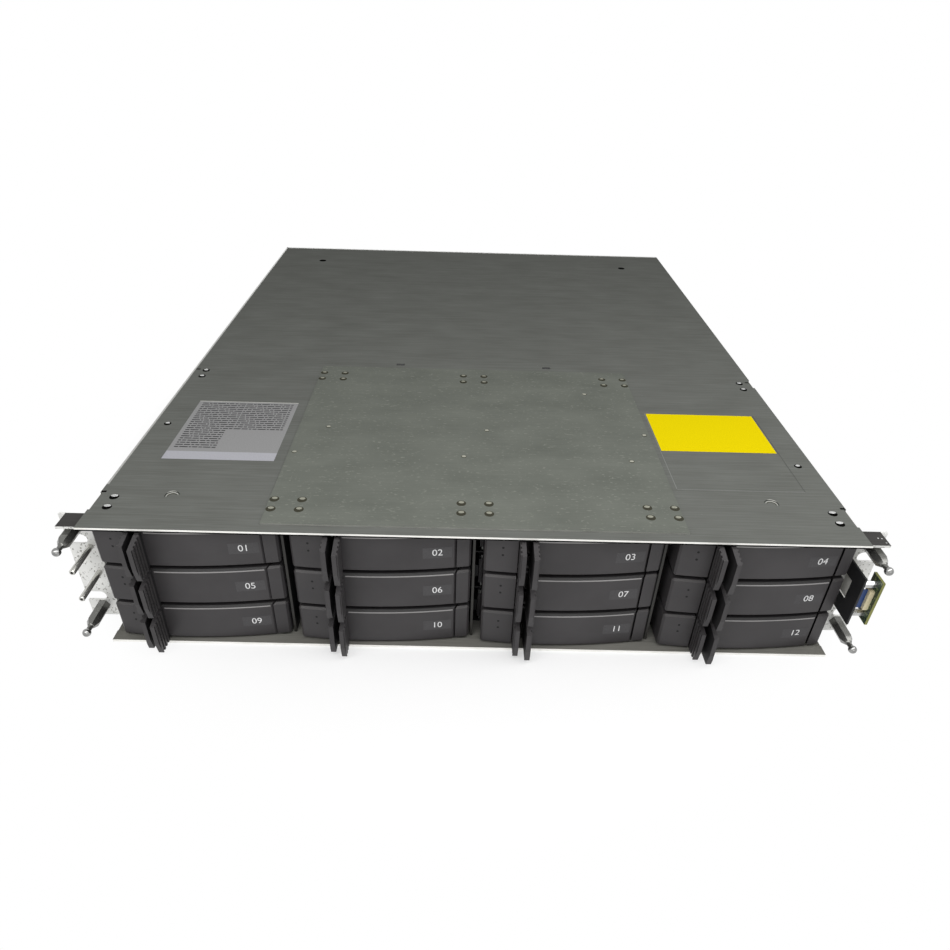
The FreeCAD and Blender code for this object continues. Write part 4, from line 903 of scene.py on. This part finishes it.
# %% [markdown]
# ## Half-shears and folds
# Two half-shears, stops pushed partly through the sheet, are drawn as crescents of painted
# highlight with crescents of painted shade between them. A black disc of painted shade lies over
# each of the two pilot holes at the rear, and a short black strip of painted shadow runs inward
# behind each notch of the side edges. A narrow pale strip along the corner of the cover's left and
# rear folds is a painted highlight. A black band of painted shadow runs along the lower edge of
# the front fold. Three pin pricks mark the right tab, and the ears' corners beside the tabs stay
# bright. Each could be cut into the sheet with a boolean, but none is deeper than the sheet is
# thick, so flat marks a hair above it are enough.

# %% Half-shears and pilot holes
HALF_SHEARS = [(-180.0, 33.4), (179.6, 39.4)]
HALF_SHEAR_TURN = math.radians(20)
CRESCENT_STEPS, SHEAR_LIFT, MARK_LIFT = 14, 0.06, 0.02
PILOTS, PILOT_SHADE_RADIUS = [(-172.0, 523.0), (172.0, 523.0)], 3.8
shear_highlight = matt_finish("shear_highlight", srgb(190, 191, 184))


def crescent(radius, width, start=0, stop=180):
    """An arc of a half-shear mark between two angles, widest in its middle."""
    points, faces = [], []
    for n in range(CRESCENT_STEPS + 1):
        share = n / CRESCENT_STEPS
        turn = math.radians(start + (stop - start) * share)
        for reach in (radius, radius + width * math.sin(math.pi * share)):
            points.append(turned_point(reach, turn, SHEAR_LIFT))
    for n in range(CRESCENT_STEPS):
        faces.append((2 * n, 2 * n + 1, 2 * n + 3, 2 * n + 2))
    return points, faces


# Pale arcs are painted highlight, dark arcs painted shade.
arcs = [(crescent(2.6, 0.8), well_painted_shade), (crescent(3.4, 0.9), shear_highlight),
        (crescent(4.3, 0.9), shade_black), (crescent(5.2, 0.8, 55, 125), shear_highlight)]
marks = []
for x, back in HALF_SHEARS:
    turned_out = Matrix.Rotation(-math.copysign(HALF_SHEAR_TURN, x), 4, "Z")
    place = Matrix.Translation(on_cover(x, back)) @ turned_out
    marks += [(arc, finish, place) for arc, finish in arcs]
# Black discs over the pilot holes: painted shade of the holes.
pilot_shade = disc(PILOT_SHADE_RADIUS, MARK_LIFT)
marks += [(pilot_shade, shade_black, Matrix.Translation(on_cover(*pilot))) for pilot in PILOTS]
print(len(HALF_SHEARS), "half-shears and", len(PILOTS), "pilot_shades")

# %% Folds, hem shade and notch shades
SIDE_FOLD, REAR_FOLD, FOLD_START, FOLD_LIFT = 1.4, 2.6, 45.0, 0.03
LEFT_EDGE, LENGTH = cover_low.x / MM, (REAR - FRONT) / MM
FOLDS = [(LEFT_EDGE, FOLD_START, LEFT_EDGE + SIDE_FOLD, LENGTH),
         (LEFT_EDGE, LENGTH - REAR_FOLD, -LEFT_EDGE, LENGTH)]
HEM_SHADE, HEM_SHADE_PROUD = 0.8, 0.04 * MM
NOTCH_SHADES, NOTCH_SHADE_WIDTH, NOTCH_SHADE_RUN = ((221.8, 36.1), (220.2, 214.6)), 3.2, 1.7
# Pale strips along the corner of the left and rear folds: painted highlight.
fold_highlight = bright_finish("fold_highlight", srgb(150, 150, 147), srgb(178, 178, 174),
                           0.4, 1.2 * MM, 0.1)

cover_origin = Matrix.Translation(on_cover(0, 0))
marks += [(patch(*strip, FOLD_LIFT), fold_highlight, cover_origin) for strip in FOLDS]
# A black band over the lower edge of the front fold: painted shadow of the gap below it.
hem_shade_place = Matrix.Translation((0, FRONT - HEM_SHADE_PROUD, cover_low.z)) @ UPRIGHT
marks.append((patch(LEFT_EDGE, 0.0, -LEFT_EDGE, HEM_SHADE), shade_black, hem_shade_place))
# Short black strips behind the side notches: painted shadow of the notches.
notch_shade = patch(-NOTCH_SHADE_WIDTH / 2, 0.0, NOTCH_SHADE_WIDTH / 2, NOTCH_SHADE_RUN, MARK_LIFT)
marks += [(notch_shade, shade_black, Matrix.Translation(on_cover(x * side, back)))
          for side in (-1, 1) for x, back in NOTCH_SHADES]
print(len(FOLDS), "folds and", 2 * len(NOTCH_SHADES), "notch_shades")

# %% Marks on the ears' tabs
TAB_DOTS = [(233.2, 12.6), (235.2, 12.2), (236.0, 8.2)]
DOT_RADIUS, DOT_HEIGHT, DOT_STEPS = 0.5, 0.03, 8
TAB_END, EAR_END, EAR_SHEET = 237.5, 241.2, 2.0

tab_lift = (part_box("right_ear")[1].z - COVER_TOP) / MM
dot = disc(DOT_RADIUS, DOT_HEIGHT, DOT_STEPS)
marks += [(dot, rivet_steel, Matrix.Translation(on_cover(x, back, tab_lift)))
          for x, back in TAB_DOTS]
corner_half, corner_x = (EAR_END - TAB_END) / 2, (TAB_END + EAR_END) / 2
corner = patch(-corner_half, 0.0, corner_half, EAR_SHEET, MARK_LIFT)
marks += [(corner, ear_steel, Matrix.Translation(on_cover(corner_x * side, EAR_FACE, tab_lift)))
          for side in (-1, 1)]
join_pieces("cover_marks", "chassis", marks)
print(len(marks), "marks on cover and tabs")

# %% [markdown]
# ## Foils on the cover
# A silver data foil sits on the left and a yellow one on the right, under a clear film that
# reaches further to the front. Their print is left out: the silver foil has rows of plain dashes
# where its lines were, and the yellow one is bare. A pale strip along the silver foil's rear edge
# is a painted highlight. Of the film only its cut edge shows, as a painted highlight along its
# front and left sides and painted shade along its right side.

# %% Foils on the cover
silver_foil = matt_finish("silver_foil", srgb(148, 148, 148))
pale_foil = matt_finish("pale_foil", srgb(174, 174, 180))
foil_highlight = matt_finish("foil_highlight", srgb(206, 206, 198))
rule_ink = matt_finish("rule_ink", srgb(70, 70, 71))
yellow_foil = matt_finish("yellow_foil", srgb(231, 209, 10), 0.45)
SILVER = (-201.5, 76.4, -129.3, 159.4)
SILVER_STRIP = 10.0
RIM = 0.6
YELLOW = (126.5, 102.0, 204.7, 156.2)
RULES = 23
RULE_PITCH, RULE_WIDTH, RULE_MARGIN = 2.9, 1.2, 3.0
FOIL_LIFT, RIM_LIFT, INK_LIFT, FILM_LIFT = 0.04, 0.06, 0.07, 0.08
DASHES = (4.2, 1.9, 2.8, 5.6, 1.4, 3.5, 2.3, 4.9)
DASH_GAP = 0.7
SHORT_RULES, SHORT_END = 9, 0.42

left, low, right, high = SILVER
# The pale strip along the silver foil's rear edge is a painted highlight.
foils = [(patch(left, low + SILVER_STRIP, right, high, FOIL_LIFT), silver_foil, cover_origin),
         (patch(left, low, right, low + SILVER_STRIP, FOIL_LIFT), pale_foil, cover_origin),
         (patch(left, high - RIM, right, high, RIM_LIFT), foil_highlight, cover_origin)]
for n in range(RULES):
    back = high - RULE_MARGIN - RULE_PITCH * n
    is_short = n >= RULES - SHORT_RULES
    end = left + (right - left) * SHORT_END if is_short else right - RULE_MARGIN
    start, dash = left + RULE_MARGIN, n * 3
    while start < end - DASH_GAP:
        stop = min(start + DASHES[dash % len(DASHES)], end)
        line = patch(start, back - RULE_WIDTH, stop, back, INK_LIFT)
        foils.append((line, rule_ink, cover_origin))
        start, dash = stop + DASH_GAP, dash + 1
foils.append((patch(*YELLOW, FOIL_LIFT), yellow_foil, cover_origin))
join_pieces("cover_foils", "chassis", foils, smooth=False)
print("foils with", RULES, "rows of dashes")

# %% Edge of the clear film
FILM = (125.5, 54.0, 206.0, 156.6)
FILM_RIM = 0.4

film_highlight = matt_finish("film_highlight", srgb(134, 136, 133))
film_shade = matt_finish("film_shade", srgb(88, 89, 86))
left, low, right, high = FILM
# Front and left edges are painted highlight, the right edge painted shade.
edges = [((left, low, right, low + FILM_RIM), film_highlight),
         ((left, low, left + FILM_RIM, high), film_highlight),
         ((right - FILM_RIM, low, right, high), film_shade)]
film_edges = [(patch(*edge, FILM_LIFT), finish, cover_origin) for edge, finish in edges]
join_pieces("cover_film", "chassis", film_edges, smooth=False)
print("film", right - left, "mm wide")

# %% [markdown]
# ## Lamp holes, edge highlights and numbers of the carriers
# Each lamp panel has two pinholes for light pipes, drawn as black discs of painted shade. A thin
# pale line below each lever's bevel is a painted highlight along its upper edge. Near its hinge
# each lever carries a grey foil, here with the plain number of the bay. Line and foil follow the
# bow of the front: their columns are placed by the same circle that shapes the moulding.

# %% Bowed fronts
BOW_RADIUS, BOW_PEAK, BOW_SETBACK = 340.0, 40.0, 2.2
HINGE_ACROSS, STRIP_PROUD = 94.0, 0.05


def bow_point(bay, across, up, proud):
    """A point on a carrier's front, in millimetres from its lower left corner."""
    low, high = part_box(f"{bay}_carrier")
    off = across - BOW_PEAK
    drop = BOW_SETBACK + BOW_RADIUS - math.sqrt(BOW_RADIUS ** 2 - off ** 2)
    left_end = high.x - BEZEL_WIDTH * MM
    return Vector((left_end + across * MM, FRONT + (drop - proud) * MM, low.z + up * MM))


def bow_turn(across):
    """Turns a flat drawing upright, square to the bow at that place."""
    slope = math.asin((across - BOW_PEAK) / BOW_RADIUS)
    return Matrix.Rotation(slope, 4, "Z") @ UPRIGHT


def bow_strip(bay, across, ups, columns):
    """A strip that follows a carrier's front, in millimetres from its lower left corner."""
    start, stop = across
    points = [bow_point(bay, start + (stop - start) * n / columns, up, STRIP_PROUD)
              for n in range(columns + 1) for up in ups]
    faces = [(2 * n, 2 * n + 2, 2 * n + 3, 2 * n + 1) for n in range(columns)]
    return points, faces


hinge_slope = math.degrees(math.asin((HINGE_ACROSS - BOW_PEAK) / BOW_RADIUS))
print("bow at the hinge end", round(hinge_slope, 1), "degrees")

# %% Lamp holes
LAMP_ACROSS, LAMP_UPS = 10.5, (13.5, 18.8)
LAMP_RADIUS, LAMP_HEIGHT, LAMP_STEPS = 0.75, 0.03, 12

# Black discs stand for the pinholes: painted shade of the holes.
hole = disc(LAMP_RADIUS, LAMP_HEIGHT, LAMP_STEPS)
for bay in BAYS:
    seats = [bow_point(bay, LAMP_ACROSS, up, 0.0) for up in LAMP_UPS]
    holes = [(hole, pit_black, Matrix.Translation(seat) @ bow_turn(LAMP_ACROSS)) for seat in seats]
    join_pieces(f"{bay}_lamp_holes", bay, holes)
print("lamp holes on", len(BAYS), "panels")

# %% Painted highlights on the levers
HIGHLIGHT_ACROSS, HIGHLIGHT_UP, HIGHLIGHT_COLUMNS = (30.6, 93.9), (23.9, 24.8), 16

for bay in BAYS:
    highlighted = bow_strip(bay, HIGHLIGHT_ACROSS, HIGHLIGHT_UP, HIGHLIGHT_COLUMNS)
    join_pieces(f"{bay}_lever_highlight", f"{bay}_lever",
                [(highlighted, highlight_plastic, Matrix())], smooth=False)
print("worn edges on", len(BAYS), "levers")

# %% Number foils and numerals
FOIL_ACROSS, FOIL_UP = (76.0, 93.0), (9.0, 16.6)
FOIL_COLUMNS = 6
NUMERAL_SIZE, NUMERAL_PROUD = 6.4, 0.12
grey_foil = matt_finish("grey_foil", srgb(84, 83, 84))
numeral_ink = matt_finish("numeral_ink", srgb(226, 226, 226))


def numeral(text, size):
    """Points and faces of a line of plain numerals, centred on the origin."""
    curve = bpy.data.curves.new("numeral", "FONT")
    curve.body = text
    curve.size = size * MM
    curve.align_x, curve.align_y = "CENTER", "CENTER"
    writing = bpy.data.objects.new("numeral", curve)
    bpy.context.scene.collection.objects.link(writing)
    bpy.context.view_layer.update()
    mesh = writing.to_mesh()
    shape = [v.co.copy() for v in mesh.vertices], [tuple(f.vertices) for f in mesh.polygons]
    writing.to_mesh_clear()
    bpy.data.objects.remove(writing)
    bpy.data.curves.remove(curve)
    return shape


foil_across, foil_up = sum(FOIL_ACROSS) / 2, sum(FOIL_UP) / 2
for number, bay in enumerate(BAYS, 1):
    seat = bow_point(bay, foil_across, foil_up, NUMERAL_PROUD)
    place = Matrix.Translation(seat) @ bow_turn(foil_across)
    join_pieces(f"{bay}_number", f"{bay}_lever",
                [(bow_strip(bay, FOIL_ACROSS, FOIL_UP, FOIL_COLUMNS), grey_foil, Matrix()),
                 (numeral(f"{number:02d}", NUMERAL_SIZE), numeral_ink, place)], smooth=False)
print("numbers on", len(BAYS), "levers")
